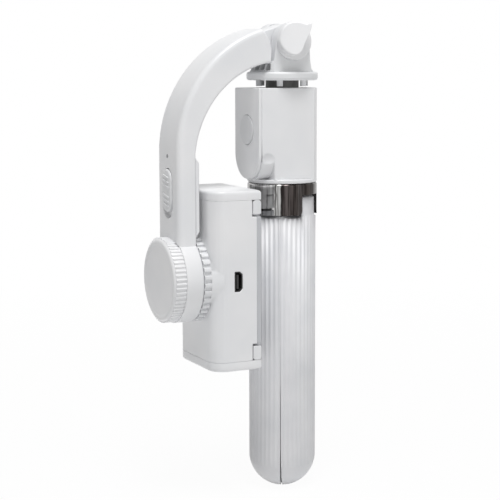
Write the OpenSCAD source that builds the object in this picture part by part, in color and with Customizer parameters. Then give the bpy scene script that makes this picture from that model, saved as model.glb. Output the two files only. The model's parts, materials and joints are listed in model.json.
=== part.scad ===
// Folding selfie stick with a one axis gimbal, stored folded
// Z runs up the handle from its foot tips. The phone clamp hangs on the -X side, the tilt knob on -Y.

/* [Handle] */
// Radius over the three closed legs
handle_r = 12.8; // [11.5:0.1:13]
// Height of the collar's lower edge above the foot tips
grip_h = 107; // [95:1:125]
// Number of flutes round the closed legs
flutes = 42; // [24:3:60]
// Depth of one flute
flute_d = 0.35; // [0.1:0.05:0.6]
// Half of the slit between two legs
slit = 0.12; // [0.08:0.01:0.2]
// Extra half width of the slit at the foot
slit_flare = 0.35; // [0.1:0.05:0.6]
// Height over which the slit opens
flare_h = 28; // [15:1:40]
// Wall of a leg
leg_wall = 1.6; // [1.2:0.1:2.2]
// Thickness of a rib in a leg
leg_rib = 1.4; // [1:0.1:2]
// Radius of the hinge knuckle of a leg
knuckle_r = 3.1; // [2.6:0.1:3.1]
// Width of the hinge knuckle of a leg
knuckle_w = 9.2; // [7:0.1:10]
// Height of the leg pins above the collar's lower edge
pin_rise = 4; // [3.6:0.1:4.4]
// Radius of a leg pin
leg_pin_r = 1; // [0.8:0.1:1.1]

/* [Collar] */
// How far the chromed collar stands out over the legs
collar_lap = 0.5; // [0.4:0.1:1]
// Height of the collar
collar_h = 12; // [11.5:0.1:14]
// Radius at the foot of each tab between the legs
tab_round = 1.6; // [0.8:0.1:2.2]
// Bevel round the collar's top
collar_bevel = 0.6; // [0.2:0.1:0.8]

/* [Rod] */
// Outer radius of the fixed tube
tube_r = 6; // [6:0.05:6.1]
// Wall of every tube
tube_wall = 0.4; // [0.35:0.01:0.42]
// Gap between one tube and the next
tube_gap = 0.3; // [0.25:0.01:0.33]
// Distance from the collar's top down to the fixed tube's top
tube_sunk = 2; // [1:0.5:3]
// Length of the top section held in the head
rod_socket = 18; // [12:1:22]
// Length of the guide at the foot of a section
guide_len = 8; // [5:0.5:10]
// Length of the neck at the top of a tube
neck_len = 3; // [2:0.5:5]

/* [Head] */
// Height of the head that holds the remote
head_h = 35.6; // [34:0.2:42]
// Radius of the head's back
head_r = 13.2; // [12.6:0.1:13.6]
// Half width of the head's flat sides
head_flat = 10.4; // [10.2:0.1:10.8]
// Distance from the rod's axis to the front of the head
head_front = 13.6; // [13:0.1:14]
// Height of the round foot flange
flange_h = 1.4; // [1:0.1:2]
// Radius of the lower corners of the front
head_corner = 9.8; // [8:0.1:10.1]

/* [Remote] */
// Depth of the remote's tub in the head
remote_deep = 5.2; // [4.8:0.1:5.2]
// Thickness of the remote's face
face_t = 1.25; // [1:0.05:1.4]
// Wall of the remote's tub
remote_wall = 0.9; // [0.7:0.1:1]
// Side lap of the face over the tub
face_lap = 1.5; // [1.3:0.1:1.8]
// Radius of the shutter button
button_r = 5.5; // [4:0.1:6]
// How far the button stands out
button_proud = 0.3; // [0.2:0.05:0.4]
// Stroke of the button
button_travel = 0.3; // [0.2:0.05:0.3]
// Radius of the coin cell
cell_r = 6.2; // [5:0.1:6.2]
// Thickness of the coin cell
cell_t = 2; // [1.6:0.1:2]

/* [Swivel and hinge] */
// Height of the gap between head and platform
swivel_h = 2.8; // [2.4:0.1:3.2]
// Radius of the platform
disc_r = 13.5; // [13:0.1:14]
// Thickness of the platform
disc_t = 3.2; // [2.6:0.1:3.6]
// Radius of the swivel post
post_r = 6.3; // [5.6:0.1:7]
// Number of studs under the platform
studs = 6; // [4:1:8]
// Radius of a stud
stud_r = 1.15; // [0.8:0.05:1.3]
// Distance of the studs from the axis
stud_ring = 9.6; // [9:0.1:10.4]
// Share of the gap that a stud bridges
stud_share = 0.78; // [0.6:0.01:0.9]
// Radius of the swivel screw
screw_r = 2.4; // [1.8:0.1:3]
// Length of the swivel screw in the head
screw_deep = 8; // [6:0.5:10]
// Height of the tilt axis above the platform
tilt_rise = 11.2; // [11:0.1:13]
// Radius of the hinge ears
ear_r = 6.9; // [6.4:0.1:7]
// Width over the hinge ears
yoke_w = 18.4; // [17.5:0.1:19]
// Distance from the tilt axis to the yoke's ribbed side
yoke_back = 9; // [7.4:0.1:9.4]
// Distance from the tilt axis to the yoke's plain side
yoke_front = 7.2; // [7:0.1:8.4]
// How far the yoke's foot spreads on the platform
yoke_spread = 1.7; // [0.8:0.1:2.2]
// Thickness of a rib of the yoke
yoke_rib = 1; // [0.8:0.1:1.4]
// Width of the arm's eye between the ears
eye_w = 8.8; // [7.5:0.1:9.2]
// Radius of the tilt bolt
bolt_r = 2; // [1.6:0.1:2.4]

/* [Knob] */
// Radius of the knob's flange
knob_r = 6.8; // [6:0.1:7]
// Thickness of the knob's flange
knob_t = 1.8; // [1.4:0.1:2.2]
// Height of the thumb wing's crest over the flange
wing_deep = 5.4; // [4:0.1:6]
// Height of the wing's low edge over the flange
wing_low = 1.6; // [1:0.1:2.4]
// Radius of the wing's round body
wing_r = 5.6; // [4.5:0.1:6]
// Reach of the wing's upper edge from the axis
wing_top = 7.4; // [7:0.1:8.2]
// Reach of the wing's lower tip from the axis
wing_foot = 6.2; // [5.5:0.1:7]
// Distance from the axis to the wing's crest
crest_x = 3.4; // [2.4:0.1:4]

/* [Arm] */
// Distance from tilt axis to motor axis
arm_drop = 87.5; // [84:0.5:96]
// Width of the arm
arm_w = 19; // [17.5:0.1:19.6]
// Thickness of the straight part of the arm
arm_t = 7.4; // [6.8:0.1:8]
// Thickness of the arm at the hinge
arm_root_t = 13; // [12:0.1:13.4]
// Radius of the arm's long edges
arm_round = 2; // [0.8:0.1:2.6]
// Radius of the motor housing
motor_r = 16.2; // [15.5:0.1:16.8]
// Width of the motor housing's plain band
band_t = 6.6; // [6:0.1:6.7]
// Depth of the knurled motor cap
cap_t = 4.8; // [4.2:0.1:5.4]
// Teeth round the motor cap
cap_teeth = 61; // [40:1:72]
// Thickness of the bulged cover on the inner side
cover_t = 1.4; // [1:0.1:1.5]
// Plain strip above the bulged cover
cover_gap = 1.4; // [1:0.1:3]
// Width of the power slide's pocket
pocket_w = 9; // [8:0.1:10]
// Share of the arm's straight part that the power slide's pocket takes
pocket_share = 0.6; // [0.5:0.01:0.66]
// Share of the straight part below the pocket's middle
pocket_place_share = 0.52; // [0.48:0.01:0.56]
// Travel of the power slide
power_travel = 2; // [1.5:0.1:2.4]

/* [Gimbal motor] */
// Running gap between arm and rotor ring
ring_gap = 0.4; // [0.3:0.05:0.6]
// Thickness of the toothed rotor ring
ring_t = 2.8; // [2.4:0.1:3.2]
// Teeth round the rotor ring
ring_teeth = 35; // [24:1:48]
// Radius of the motor shaft
shaft_r = 2; // [1.6:0.1:2.2]
// Outer radius of the ball bearings
bearing_r = 4.5; // [4:0.1:4.8]
// Poles of the stator
poles = 12; // [9:3:15]

/* [Clamp] */
// Distance from the rod's axis to the phone's seat
seat_gap = 17.3; // [17:0.1:19]
// Thickness of the clamp
clamp_t = 19.3; // [18.6:0.1:21]
// Width of the clamp
clamp_w = 34; // [31:0.5:37]
// Height over the closed jaws
clamp_h = 66.8; // [64:0.2:72]
// Thickness of a jaw
jaw_t = 3.5; // [3:0.1:4]
// Radius of the clamp's upright edges away from the phone's seat
clamp_round = 6; // [4:0.1:6.6]
// Travel of each jaw
jaw_travel = 15; // [8:0.5:15]
// Wall of the clamp's shell
clamp_wall = 1.8; // [1.4:0.1:2]
// Thickness of the phone's seat plate
seat_t = 1.7; // [1.4:0.1:1.9]
// Height of a folding lip
lip_h = 5.2; // [4.4:0.1:5.6]
// Thickness of a folding lip
lip_t = 3.2; // [2.8:0.1:3.4]
// Distance from the middle to the inner end of a lip
lip_in = 9.5; // [9.3:0.1:11]
// Tooth pitch radius of the jaw pinion
pinion_r = 3; // [2.8:0.1:3.4]
// Teeth of the jaw pinion
pinion_teeth = 12; // [10:1:14]
// Width of the charging socket
port_w = 7.5; // [7:0.1:8.2]
// Height of the charging socket
port_t = 3.2; // [2.8:0.1:3.6]
// Bevel on the two inner corners of the charging socket
port_bevel = 1.1; // [0.6:0.1:1.3]

/* [Fits] */
// Running fit of pins, guides and slides
fit = 0.05; // [0.03:0.01:0.08]
// Clearance between parts that move past each other
clear = 0.3; // [0.2:0.05:0.35]
// Clearance round parts that snap together
snap = 0.12; // [0.08:0.01:0.2]

/* [Hidden] */
$fn = 64;
over = 0.5;
hull_fn = 32;

// Heights up the stick
collar_top = grip_h + collar_h;
head_top = collar_top + head_h;
disc_z = head_top + swivel_h;
disc_top = disc_z + disc_t;
tilt_z = disc_top + tilt_rise;
motor_z = tilt_z - arm_drop;
leg_pin_z = grip_h + pin_rise;
clamp_top = motor_z + clamp_h / 2;
clamp_bot = motor_z - clamp_h / 2;
body_top = clamp_top - jaw_t;
body_bot = clamp_bot + jaw_t;

// Distances from the rod's axis towards the clamp
clamp_back = seat_gap + clamp_t;
ring_back = clamp_back + ring_t;
arm_in = ring_back + ring_gap;
arm_out = arm_in + arm_t;
band_out = arm_in + band_t;
cap_out = band_out + cap_t;

// Legs
collar_r = handle_r + collar_lap;
dome_r = handle_r + fit;
leg_in = tube_r + clear + fit;
pin_ring = handle_r - knuckle_r - snap;
leg_top = grip_h - clear;
slot_w = knuckle_w + 2 * clear;
pin_skin = 0.7;
pin_half = sqrt(pow(collar_r - pin_skin, 2) - pow(pin_ring + leg_pin_r, 2));
slot_top = leg_pin_z + knuckle_r + clear + snap;
tab_reach = sqrt(collar_r * collar_r - slot_w * slot_w / 4) - pin_ring;
shoulder_r = sqrt(tab_reach * tab_reach + pin_rise * pin_rise) + clear;
legs = 3;
leg_span = 360 / legs;
leg_angles = [for (i = [0 : legs - 1]) 180 + i * leg_span];
bay_count = 4;
bay_bot = dome_r;
bay_top = grip_h - 2 * knuckle_r - leg_wall;

// Rod sections
tube_step = tube_wall + tube_gap;
section_count = 5;
tube_foot = 4;
plug_h = 3;
rung = 0.4;
tube_top = collar_top - tube_sunk;
function rod_r(k) = tube_r - k * tube_step;
function rod_foot(k) = tube_foot + plug_h + k * rung;
function rod_top(k) = k < section_count ? tube_top + k * rung / 2 : collar_top + rod_socket;

// Arm outline: two arcs about one centre, the inner one drawing in towards the hinge
arc_r = (arm_out + arm_out - arm_root_t) / 2;
arc_z = tilt_z - arc_r;
sweep_angle = 74;
eye_angle = 2;
arm_steps = 18;
end_steps = 6;
bulge_angle = 3;
eye_r = ear_r - clear;
gap_floor = tilt_z - eye_r - 2 * clear;

// The arm's straight part, from the motor housing to the start of its arc
cover_z = motor_z + motor_r;
straight = arc_z - cover_z;
cover_len = straight - cover_gap;
pocket_len = max(straight * pocket_share, pocket_w + power_travel + 2 * clear);
power_z = cover_z + straight * pocket_place_share;
lens_place_share = 0.8;
lens_z = arc_z - (arc_z - power_z - pocket_len / 2) * (1 - lens_place_share);
lens_r = 0.8;
lens_cover = 1.4;

module front() { mirror([1, 0, 0]) children(); }
module fwd_side(w) { rotate([90, 0, 0]) linear_extrude(w, center = true) children(); }
module fwd_plan(x0, x1) {
    translate([x0, 0, 0]) rotate([90, 0, 90]) linear_extrude(x1 - x0) children();
}
module fwd_rod(x0, x1, r, z = 0, y = 0) {
    translate([x0, y, z]) rotate([0, 90, 0]) cylinder(r = r, h = x1 - x0);
}
module cross_rod(y0, y1, r, x = 0, z = 0) {
    translate([x, y1, z]) rotate([90, 0, 0]) cylinder(r = r, h = y1 - y0);
}
module block(x0, x1, y0, y1, z0, z1) { translate([x0, y0, z0]) cube([x1 - x0, y1 - y0, z1 - z0]); }
module stadium(w, len) {
    square([w, len - w], center = true);
    for (s = [-1, 1]) translate([0, s * (len - w) / 2]) circle(d = w);
}
module rounded(w, h, r) {
    square([w - 2 * r, h], center = true);
    square([w, h - 2 * r], center = true);
    for (x = [-1, 1], y = [-1, 1]) translate([x * (w / 2 - r), y * (h / 2 - r)]) circle(r);
}

// Handle

// Outline of the closed legs: a circle with shallow flutes
function flute_r(a) = handle_r - flute_d * pow(sin(a * flutes / 2), 2);
module fluted_outline() {
    polygon([for (i = [0 : flutes * 4 - 1]) let (a = i * 90 / flutes) flute_r(a) * [cos(a), sin(a)]]);
}
module foot_capsule(top) {
    rotate_extrude() {
        translate([0, dome_r]) square([dome_r, top - dome_r]);
        intersection() {
            translate([0, dome_r]) circle(dome_r);
            square([dome_r, dome_r]);
        }
    }
}
module wedge(angle, r, h) {
    reach = 2 * r * [cos(angle / 2), sin(angle / 2)];
    linear_extrude(h) polygon([[0, 0], [reach.x, -reach.y], [reach.x, reach.y]]);
}
module leg_bays() {
    bay = (bay_top - bay_bot - (bay_count - 1) * leg_rib) / bay_count;
    for (i = [0 : bay_count - 1]) translate([0, 0, bay_bot + i * (bay + leg_rib)]) intersection() {
        cylinder(r = handle_r - leg_wall - flute_d, h = bay);
        translate([leg_wall / sin(leg_span / 2), 0, 0]) wedge(leg_span, handle_r, bay);
    }
}
module slit_flares() {
    for (s = [-1, 1]) rotate([0, 0, s * leg_span / 2]) rotate([90, 0, 90])
        translate([0, 0, -over]) linear_extrude(2 * handle_r)
            polygon([[-slit_flare, -over], [slit_flare, -over], [0, flare_h]]);
}
module leg() {
    difference() {
        union() {
            difference() {
                intersection() {
                    foot_capsule(leg_top);
                    linear_extrude(leg_top) fluted_outline();
                    translate([slit / sin(leg_span / 2), 0, -over])
                        wedge(leg_span, handle_r, leg_top + 2 * over);
                }
                cross_rod(-handle_r, handle_r, shoulder_r, pin_ring, leg_pin_z);
            }
            intersection() {
                union() {
                    cross_rod(-knuckle_w / 2, knuckle_w / 2, knuckle_r, pin_ring, leg_pin_z);
                    block(pin_ring - knuckle_r, pin_ring + knuckle_r, -knuckle_w / 2, knuckle_w / 2,
                        leg_pin_z - shoulder_r - leg_wall, leg_pin_z);
                }
                cylinder(r = handle_r - flute_d - fit, h = collar_top);
            }
        }
        translate([0, 0, tube_foot - clear]) cylinder(r = leg_in, h = collar_top);
        cross_rod(-knuckle_w, knuckle_w, leg_pin_r + fit, pin_ring, leg_pin_z);
        leg_bays();
        slit_flares();
    }
}
module leg_front() { color("whitesmoke") rotate([0, 0, leg_angles[0]]) leg(); }
module leg_near() { color("whitesmoke") rotate([0, 0, leg_angles[1]]) leg(); }
module leg_far() { color("whitesmoke") rotate([0, 0, leg_angles[2]]) leg(); }

// Slot for one knuckle, with its mouth flared round the tabs' lower corners
module knuckle_slot() {
    flare = [for (a = [0 : 15 : 90])
        [slot_w / 2 + tab_round * (1 - sin(a)), grip_h + tab_round * (1 - cos(a))]];
    polygon(concat(
        [[slot_w / 2 + tab_round, grip_h - over]], flare,
        [[slot_w / 2, slot_top], [-slot_w / 2, slot_top]],
        [for (i = [len(flare) - 1 : -1 : 0]) [-flare[i][0], flare[i][1]]],
        [[-slot_w / 2 - tab_round, grip_h - over]]
    ));
}
module collar() {
    color("silver") difference() {
        rotate_extrude() polygon([
            [tube_r, grip_h], [collar_r, grip_h], [collar_r, collar_top - collar_bevel],
            [collar_r - collar_bevel, collar_top], [tube_r, collar_top]
        ]);
        for (a = leg_angles) rotate([0, 0, a]) {
            translate([tube_r - over, 0, 0]) rotate([90, 0, 90]) linear_extrude(collar_r) knuckle_slot();
            cross_rod(-pin_half, pin_half, leg_pin_r, pin_ring, leg_pin_z);
        }
    }
}
module leg_pins() {
    color("gainsboro") for (a = leg_angles) rotate([0, 0, a])
        cross_rod(-pin_half, pin_half, leg_pin_r, pin_ring, leg_pin_z);
}

// Rod

module base_tube() {
    color("silver") rotate_extrude() polygon([
        [tube_r, tube_foot], [tube_r, tube_top], [rod_r(1) + fit, tube_top],
        [rod_r(1) + fit, tube_top - neck_len], [tube_r - tube_wall, tube_top - neck_len - tube_gap],
        [tube_r - tube_wall, tube_foot]
    ]);
}
module tube_plug() {
    color("dimgray") translate([0, 0, tube_foot]) cylinder(r = tube_r - tube_wall, h = plug_h);
}
// A drawn tube with a guide at its foot and a neck round the next tube at its top
module rod_section(k) {
    r = rod_r(k);
    foot = rod_foot(k);
    top = rod_top(k);
    guide = rod_r(k - 1) - tube_wall - fit;
    neck = rod_r(k + 1) + fit;
    color("silver") rotate_extrude() polygon([
        [guide, foot], [guide, foot + guide_len], [r, foot + guide_len + tube_gap], [r, top],
        [neck, top], [neck, top - neck_len], [r - tube_wall, top - neck_len - tube_gap], [r - tube_wall, foot]
    ]);
}
module rod_section_1() { rod_section(1); }
module rod_section_2() { rod_section(2); }
module rod_section_3() { rod_section(3); }
module rod_section_4() { rod_section(4); }
module rod_section_5() { rod_section(5); }

// Head and remote

remote_front = head_front + fit + face_t;
tub_back = head_front - remote_deep;
tub_half = head_flat - face_lap;
tub_bot = collar_top + flange_h + face_lap;
button_share = 0.56;
button_z = collar_top + head_h * button_share;

// Outline with a straight top and two round lower corners, as seen from the front
module shield(half, bot, top, r) {
    translate([-half, bot + r]) square([2 * half, top - bot - r]);
    translate([-half + r, bot]) square([2 * (half - r), r + over]);
    for (s = [-1, 1]) translate([s * (half - r), bot + r]) circle(r);
}
module head_shell() {
    scoop_r = 6;
    scoop_deep = 0.7;
    color("white") front() difference() {
        union() {
            translate([0, 0, collar_top]) cylinder(r = head_r, h = flange_h);
            translate([0, 0, collar_top]) linear_extrude(head_h) intersection() {
                circle(head_r);
                translate([-head_r, -head_flat]) square([head_r + tub_back, 2 * head_flat]);
            }
            intersection() {
                fwd_plan(0, head_front) shield(head_flat, collar_top + flange_h / 2, head_top, head_corner);
                block(0, head_front, -head_flat, head_flat, collar_top, head_top);
            }
        }
        fwd_plan(tub_back, head_front + over)
            shield(tub_half, tub_bot, head_top - face_lap, head_corner - face_lap);
        for (s = [-1, 1])
            translate([tub_back + remote_deep / 2, s * (head_flat + scoop_r - scoop_deep), tub_bot + scoop_r])
                sphere(scoop_r);
        translate([0, 0, collar_top - over]) cylinder(r = rod_r(section_count), h = rod_socket + over);
        translate([0, 0, head_top - screw_deep]) cylinder(r = screw_r, h = screw_deep + over);
    }
}
module remote_tub() {
    half = tub_half - snap;
    color("white") front() difference() {
        fwd_plan(tub_back + snap, head_front)
            shield(half, tub_bot + snap, head_top - face_lap - snap, head_corner - face_lap - snap);
        fwd_plan(tub_back + snap + remote_wall, head_front + over)
            shield(half - remote_wall, tub_bot + snap + remote_wall, head_top - face_lap - snap - remote_wall,
                head_corner - face_lap - snap - remote_wall);
    }
}
module remote_face() {
    color("white") front() difference() {
        fwd_plan(head_front, remote_front)
            shield(head_flat, collar_top + flange_h, head_top, head_corner);
        fwd_rod(head_front - over, remote_front + over, button_r + snap, button_z);
    }
}
module shutter_button() {
    foot = 0.8;
    color("whitesmoke") front() {
        fwd_rod(head_front - foot + button_travel, remote_front + button_proud, button_r, button_z);
        fwd_rod(head_front - foot + button_travel, head_front - fit, button_r + foot, button_z);
    }
}
module coin_cell() {
    back = tub_back + snap + remote_wall;
    color("silver") front() fwd_rod(back, back + cell_t, cell_r, button_z);
}
module remote_board() {
    board_t = 0.6;
    back = tub_back + snap + remote_wall + cell_t;
    color("darkgreen") front()
        fwd_plan(back, back + board_t)
            shield(tub_half - remote_wall - 2 * snap, tub_bot + remote_wall + 2 * snap,
                head_top - face_lap - remote_wall - 2 * snap, head_corner - face_lap - remote_wall - 2 * snap);
}

// Swivel and tilt hinge

screw_head_r = 4.4;
screw_head_t = 1.6;
washer_t = 0.25;
washer_rim = 1;
stud_angle = 118;

module swivel_post() {
    color("dimgray") translate([0, 0, head_top]) difference() {
        cylinder(r = post_r, h = swivel_h - fit);
        translate([0, 0, -over]) cylinder(r = screw_r, h = swivel_h + 2 * over);
    }
}
module swivel_screw() {
    color("silver") {
        translate([0, 0, head_top - screw_deep])
            cylinder(r = screw_r, h = screw_deep + swivel_h + disc_t + fit);
        translate([0, 0, disc_top + fit]) cylinder(r = screw_head_r, h = screw_head_t);
    }
}
module platform() {
    edge = disc_t / 3;
    stud_h = swivel_h * stud_share;
    color("gainsboro") {
        difference() {
            rotate_extrude() {
                translate([0, disc_z]) square([disc_r - edge, disc_t]);
                translate([0, disc_z + edge]) square([disc_r, disc_t - 2 * edge]);
                for (z = [disc_z + edge, disc_top - edge]) translate([disc_r - edge, z]) circle(edge);
            }
            translate([0, 0, disc_z - over]) cylinder(r = screw_r + fit, h = disc_t + 2 * over);
        }
        for (i = [0 : studs - 1]) rotate([0, 0, stud_angle + i * 360 / studs])
            translate([stud_ring, 0, disc_z - stud_h]) cylinder(r = stud_r, h = stud_h + edge);
    }
}
ear_angle = 10;
yoke_inset = 1.2;
function ear_side(a) = [ear_r * cos(a), tilt_z + ear_r * sin(a)];
// Two ears on a foot that spreads over the platform, cored between ribs on the clamp's side
module hinge_yoke() {
    bays = 4;
    bay_w = (yoke_w - (bays + 1) * yoke_rib) / bays;
    bay_top = gap_floor - yoke_rib;
    gap_half = eye_w / 2 + washer_t + fit;
    color("whitesmoke") front() difference() {
        intersection() {
            union() {
                fwd_side(yoke_w) polygon([
                    [-yoke_front - yoke_spread, disc_top], [-yoke_front - yoke_spread / 3, disc_top + yoke_rib],
                    [-yoke_front, gap_floor], ear_side(180 - ear_angle), ear_side(ear_angle),
                    [yoke_back - yoke_rib, gap_floor],
                    [yoke_back, gap_floor - yoke_rib], [yoke_back + yoke_spread / 3, disc_top + yoke_rib],
                    [yoke_back + yoke_spread, disc_top]
                ]);
                cross_rod(-yoke_w / 2, yoke_w / 2, ear_r, 0, tilt_z);
            }
            translate([0, 0, disc_top]) cylinder(r = disc_r - yoke_inset, h = tilt_rise + ear_r);
        }
        block(-disc_r, disc_r, -gap_half, gap_half, gap_floor, tilt_z + disc_r);
        cross_rod(-disc_r, disc_r, bolt_r, 0, tilt_z);
        translate([0, 0, disc_top - over])
            cylinder(r = screw_head_r + clear, h = over + screw_head_t + clear + fit);
        for (i = [0 : bays - 1]) let (y0 = -yoke_w / 2 + yoke_rib + i * (bay_w + yoke_rib))
            block(screw_head_r + clear + yoke_rib, disc_r, y0, y0 + bay_w, disc_top + yoke_rib / 2, bay_top);
    }
}
module tilt_bolt() {
    bolt_head_t = 1.6;
    bolt_head_r = bolt_r + ear_r / 3;
    color("silver") {
        cross_rod(-yoke_w / 2 - knob_t - wing_low, yoke_w / 2, bolt_r, 0, tilt_z);
        cross_rod(yoke_w / 2, yoke_w / 2 + bolt_head_t, bolt_head_r, 0, tilt_z);
    }
}
module hinge_washers() {
    color("goldenrod") for (s = [-1, 1]) difference() {
        y = s * (eye_w / 2 + fit + washer_t / 2);
        cross_rod(y - washer_t / 2, y + washer_t / 2, eye_r - washer_rim, 0, tilt_z);
        cross_rod(y - washer_t, y + washer_t, bolt_r + fit, 0, tilt_z);
    }
}
// Wing knob: a round flange and a leaf of a thumb wing, scooped up to a crest with an ear
flange_y = -yoke_w / 2 - fit;
wing_y = flange_y - knob_t;
module wing_outline() {
    foot_r = 1.3;
    ear_tip_r = 0.8;
    hull() {
        translate([-wing_r / 4, 0]) circle(wing_r, $fn = hull_fn);
        translate([-wing_r / 4, wing_top - wing_r / 2]) circle(wing_r / 2, $fn = hull_fn);
        translate([-wing_foot / 3, foot_r - wing_foot]) circle(foot_r, $fn = hull_fn);
    }
    hull() {
        circle(wing_r / 3, $fn = hull_fn);
        translate([crest_x, wing_top - ear_tip_r]) circle(ear_tip_r, $fn = hull_fn);
    }
}
// Section of the wing seen from above, with its scoop rising from the low edge to the crest
module wing_section() {
    crest_t = 1;
    bow = 0.8;
    steps = 8;
    low_x = -wing_r - wing_r / 4;
    polygon(concat(
        [[low_x, flange_y]],
        [for (i = [0 : steps]) [low_x + (crest_x - low_x) * i / steps,
            wing_y - wing_low - (wing_deep - wing_low) * i / steps + bow * sin(180 * i / steps)]],
        [[crest_x + crest_t, wing_y - wing_deep + crest_t], [crest_x + crest_t, flange_y]]
    ));
}
module tilt_knob() {
    color("white") difference() {
        union() {
            cross_rod(wing_y, flange_y, knob_r, 0, tilt_z);
            intersection() {
                translate([0, flange_y - fit, tilt_z]) rotate([90, 0, 0])
                    linear_extrude(knob_t + wing_deep) wing_outline();
                translate([0, 0, tilt_z - wing_top]) linear_extrude(2 * wing_top) wing_section();
            }
        }
        cross_rod(wing_y - wing_low - fit, flange_y + over, bolt_r + fit, 0, tilt_z);
    }
}

// Arm

// Inner and outer radius of the arm at an angle up from its straight part
function arm_r_in(a) = arm_in - (arm_root_t - arm_t) * a / sweep_angle;
function arc_point(r, a) = [r * cos(a), arc_z + r * sin(a)];
module arm_outline() {
    polygon(concat(
        [[arm_in, motor_z], [arm_out, motor_z]],
        [for (i = [0 : arm_steps]) arc_point(arm_out, i * sweep_angle / arm_steps)],
        [for (i = [1 : end_steps - 1]) arc_point(arm_out - arm_root_t * i / end_steps,
            sweep_angle + bulge_angle * sin(180 * i / end_steps))],
        [for (i = [arm_steps : -1 : 0]) arc_point(arm_r_in(i * sweep_angle / arm_steps), i * sweep_angle / arm_steps)]
    ));
}
module eye_outline() {
    translate([0, tilt_z]) circle(eye_r);
    polygon(concat(
        [[0, tilt_z + eye_r]],
        [arc_point(arm_out - arm_t / 4, sweep_angle - eye_angle)],
        [arc_point(arm_r_in(sweep_angle) + arm_t / 4, sweep_angle - eye_angle)],
        [[0, tilt_z - eye_r]]
    ));
}
// Space inside the arm's rounded outer edges
module arm_envelope() {
    translate([0, 0, motor_z]) linear_extrude(arc_z - motor_z) edge_plan();
    translate([0, 0, arc_z]) rotate([90, 0, 0]) rotate_extrude() edge_plan();
}
module edge_plan() {
    translate([0, -arm_w / 2]) square([arm_out - arm_round, arm_w]);
    translate([0, -arm_w / 2 + arm_round]) square([arm_out, arm_w - 2 * arm_round]);
    for (s = [-1, 1]) translate([arm_out - arm_round, s * (arm_w / 2 - arm_round)]) circle(arm_round);
}
hub_wall = 1.1;
housing_wall = 1.6;
hub_r = bearing_r + hub_wall;
can_r = motor_r - housing_wall - clear / 2;
bell_room = 2.8;
hub_len = band_t + cap_t - housing_wall - bell_room;
module arm_frame() {
    recess = 1.4;
    recess_half = arm_w / 2 - recess - clear;
    color("white") front() difference() {
        union() {
            difference() {
                union() {
                    difference() {
                        intersection() {
                            fwd_side(arm_w) arm_outline();
                            arm_envelope();
                        }
                        fwd_rod(band_out, arm_out + over, motor_r + fit, motor_z);
                    }
                    fwd_rod(arm_in, band_out, motor_r, motor_z);
                }
                fwd_rod(arm_in + housing_wall, arm_out + over, can_r, motor_z);
            }
            fwd_side(eye_w) eye_outline();
            fwd_rod(arm_in, arm_in + hub_len, hub_r, motor_z);
        }
        cross_rod(-eye_w, eye_w, bolt_r + fit, 0, tilt_z);
        fwd_rod(arm_in - over, arm_in + hub_len + over, bearing_r, motor_z);
        block(arm_in - over, arm_in + recess, -recess_half, recess_half,
            cover_z + recess, cover_z + cover_len - recess);
        translate([0, 0, power_z]) fwd_plan(arm_out - slide_deep, arm_out + over) stadium(pocket_w, pocket_len);
        block(arm_in, arm_out, -slide_neck / 2 - clear, slide_neck / 2 + clear,
            power_z - slide_neck - power_travel, power_z + slide_neck);
        fwd_rod(arm_in, arm_out + over, lens_r, lens_z);
        for (z = cover_screw_z) fwd_rod(arm_in - over, arm_in + screw_long, small_screw_r, z);
    }
}
slide_deep = 1.5;
slide_neck = 3;
small_screw_r = 0.8;
small_head_r = 1.5;
screw_long = 4;
screw_seat = 0.9;
screw_margin = 1.2;
board_thick = 0.8;
cover_screw_z = [cover_z + small_head_r + screw_margin, cover_z + cover_len - small_head_r - screw_margin];
module arm_cover() {
    half = arm_w / 2 - clear;
    ramp = 2;
    color("white") front() difference() {
        fwd_side(2 * half) polygon([
            [arm_in, cover_z], [arm_in - cover_t, cover_z + ramp],
            [arm_in - cover_t, cover_z + cover_len - ramp], [arm_in, cover_z + cover_len]
        ]);
        for (z = cover_screw_z) {
            fwd_rod(arm_in - cover_t - over, arm_in + over, small_screw_r + fit, z);
            fwd_rod(arm_in - cover_t - over, arm_in - cover_t + screw_seat, small_head_r + fit, z);
        }
    }
}
module cover_screws() {
    color("silver") front() for (z = cover_screw_z) {
        fwd_rod(arm_in - cover_t + screw_seat - fit, arm_in + screw_long - fit, small_screw_r, z);
        fwd_rod(arm_in - cover_t + fit, arm_in - cover_t + screw_seat, small_head_r, z);
    }
}
// Power slide: a stadium pad with three slanted ribs at each end, on a neck through the slot
module power_slide() {
    w = pocket_w - 2 * clear;
    len = pocket_len - power_travel - 2 * clear;
    rib_t = 0.7;
    rib_h = 0.5;
    pitch = 2.1;
    pad = slide_deep - clear;
    mid = power_z + power_travel / 2;
    rib_angle = 12;
    first_share = 0.9;
    foot = board_thick + 4 * clear;
    color("whitesmoke") front() {
        translate([0, 0, mid]) fwd_plan(arm_out - slide_deep + fit, arm_out - slide_deep + pad) stadium(w, len);
        intersection() {
            translate([0, 0, mid]) fwd_plan(arm_out - slide_deep + fit, arm_out + rib_h)
                stadium(w - rib_t, len - rib_t);
            for (s = [-1, 1], i = [0 : 2])
                translate([arm_out, 0, mid + s * (len / 2 - pitch * (i + first_share))])
                    rotate([rib_angle, 0, 0]) cube([3 * slide_deep, w, rib_t], center = true);
        }
        block(arm_in + foot, arm_out - slide_deep + 2 * fit, -slide_neck / 2, slide_neck / 2,
            mid - slide_neck / 2, mid + slide_neck / 2);
    }
}
module status_lens() {
    color("lightcyan") front() fwd_rod(arm_in + lens_cover, arm_out - fit, lens_r, lens_z);
}
module power_board() {
    half = arm_w / 3;
    edge = 3 * small_head_r;
    color("darkgreen") front()
        block(arm_in + fit, arm_in + fit + board_thick, -half, half,
            cover_z + edge, cover_z + cover_len - edge);
}

// Motor

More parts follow.
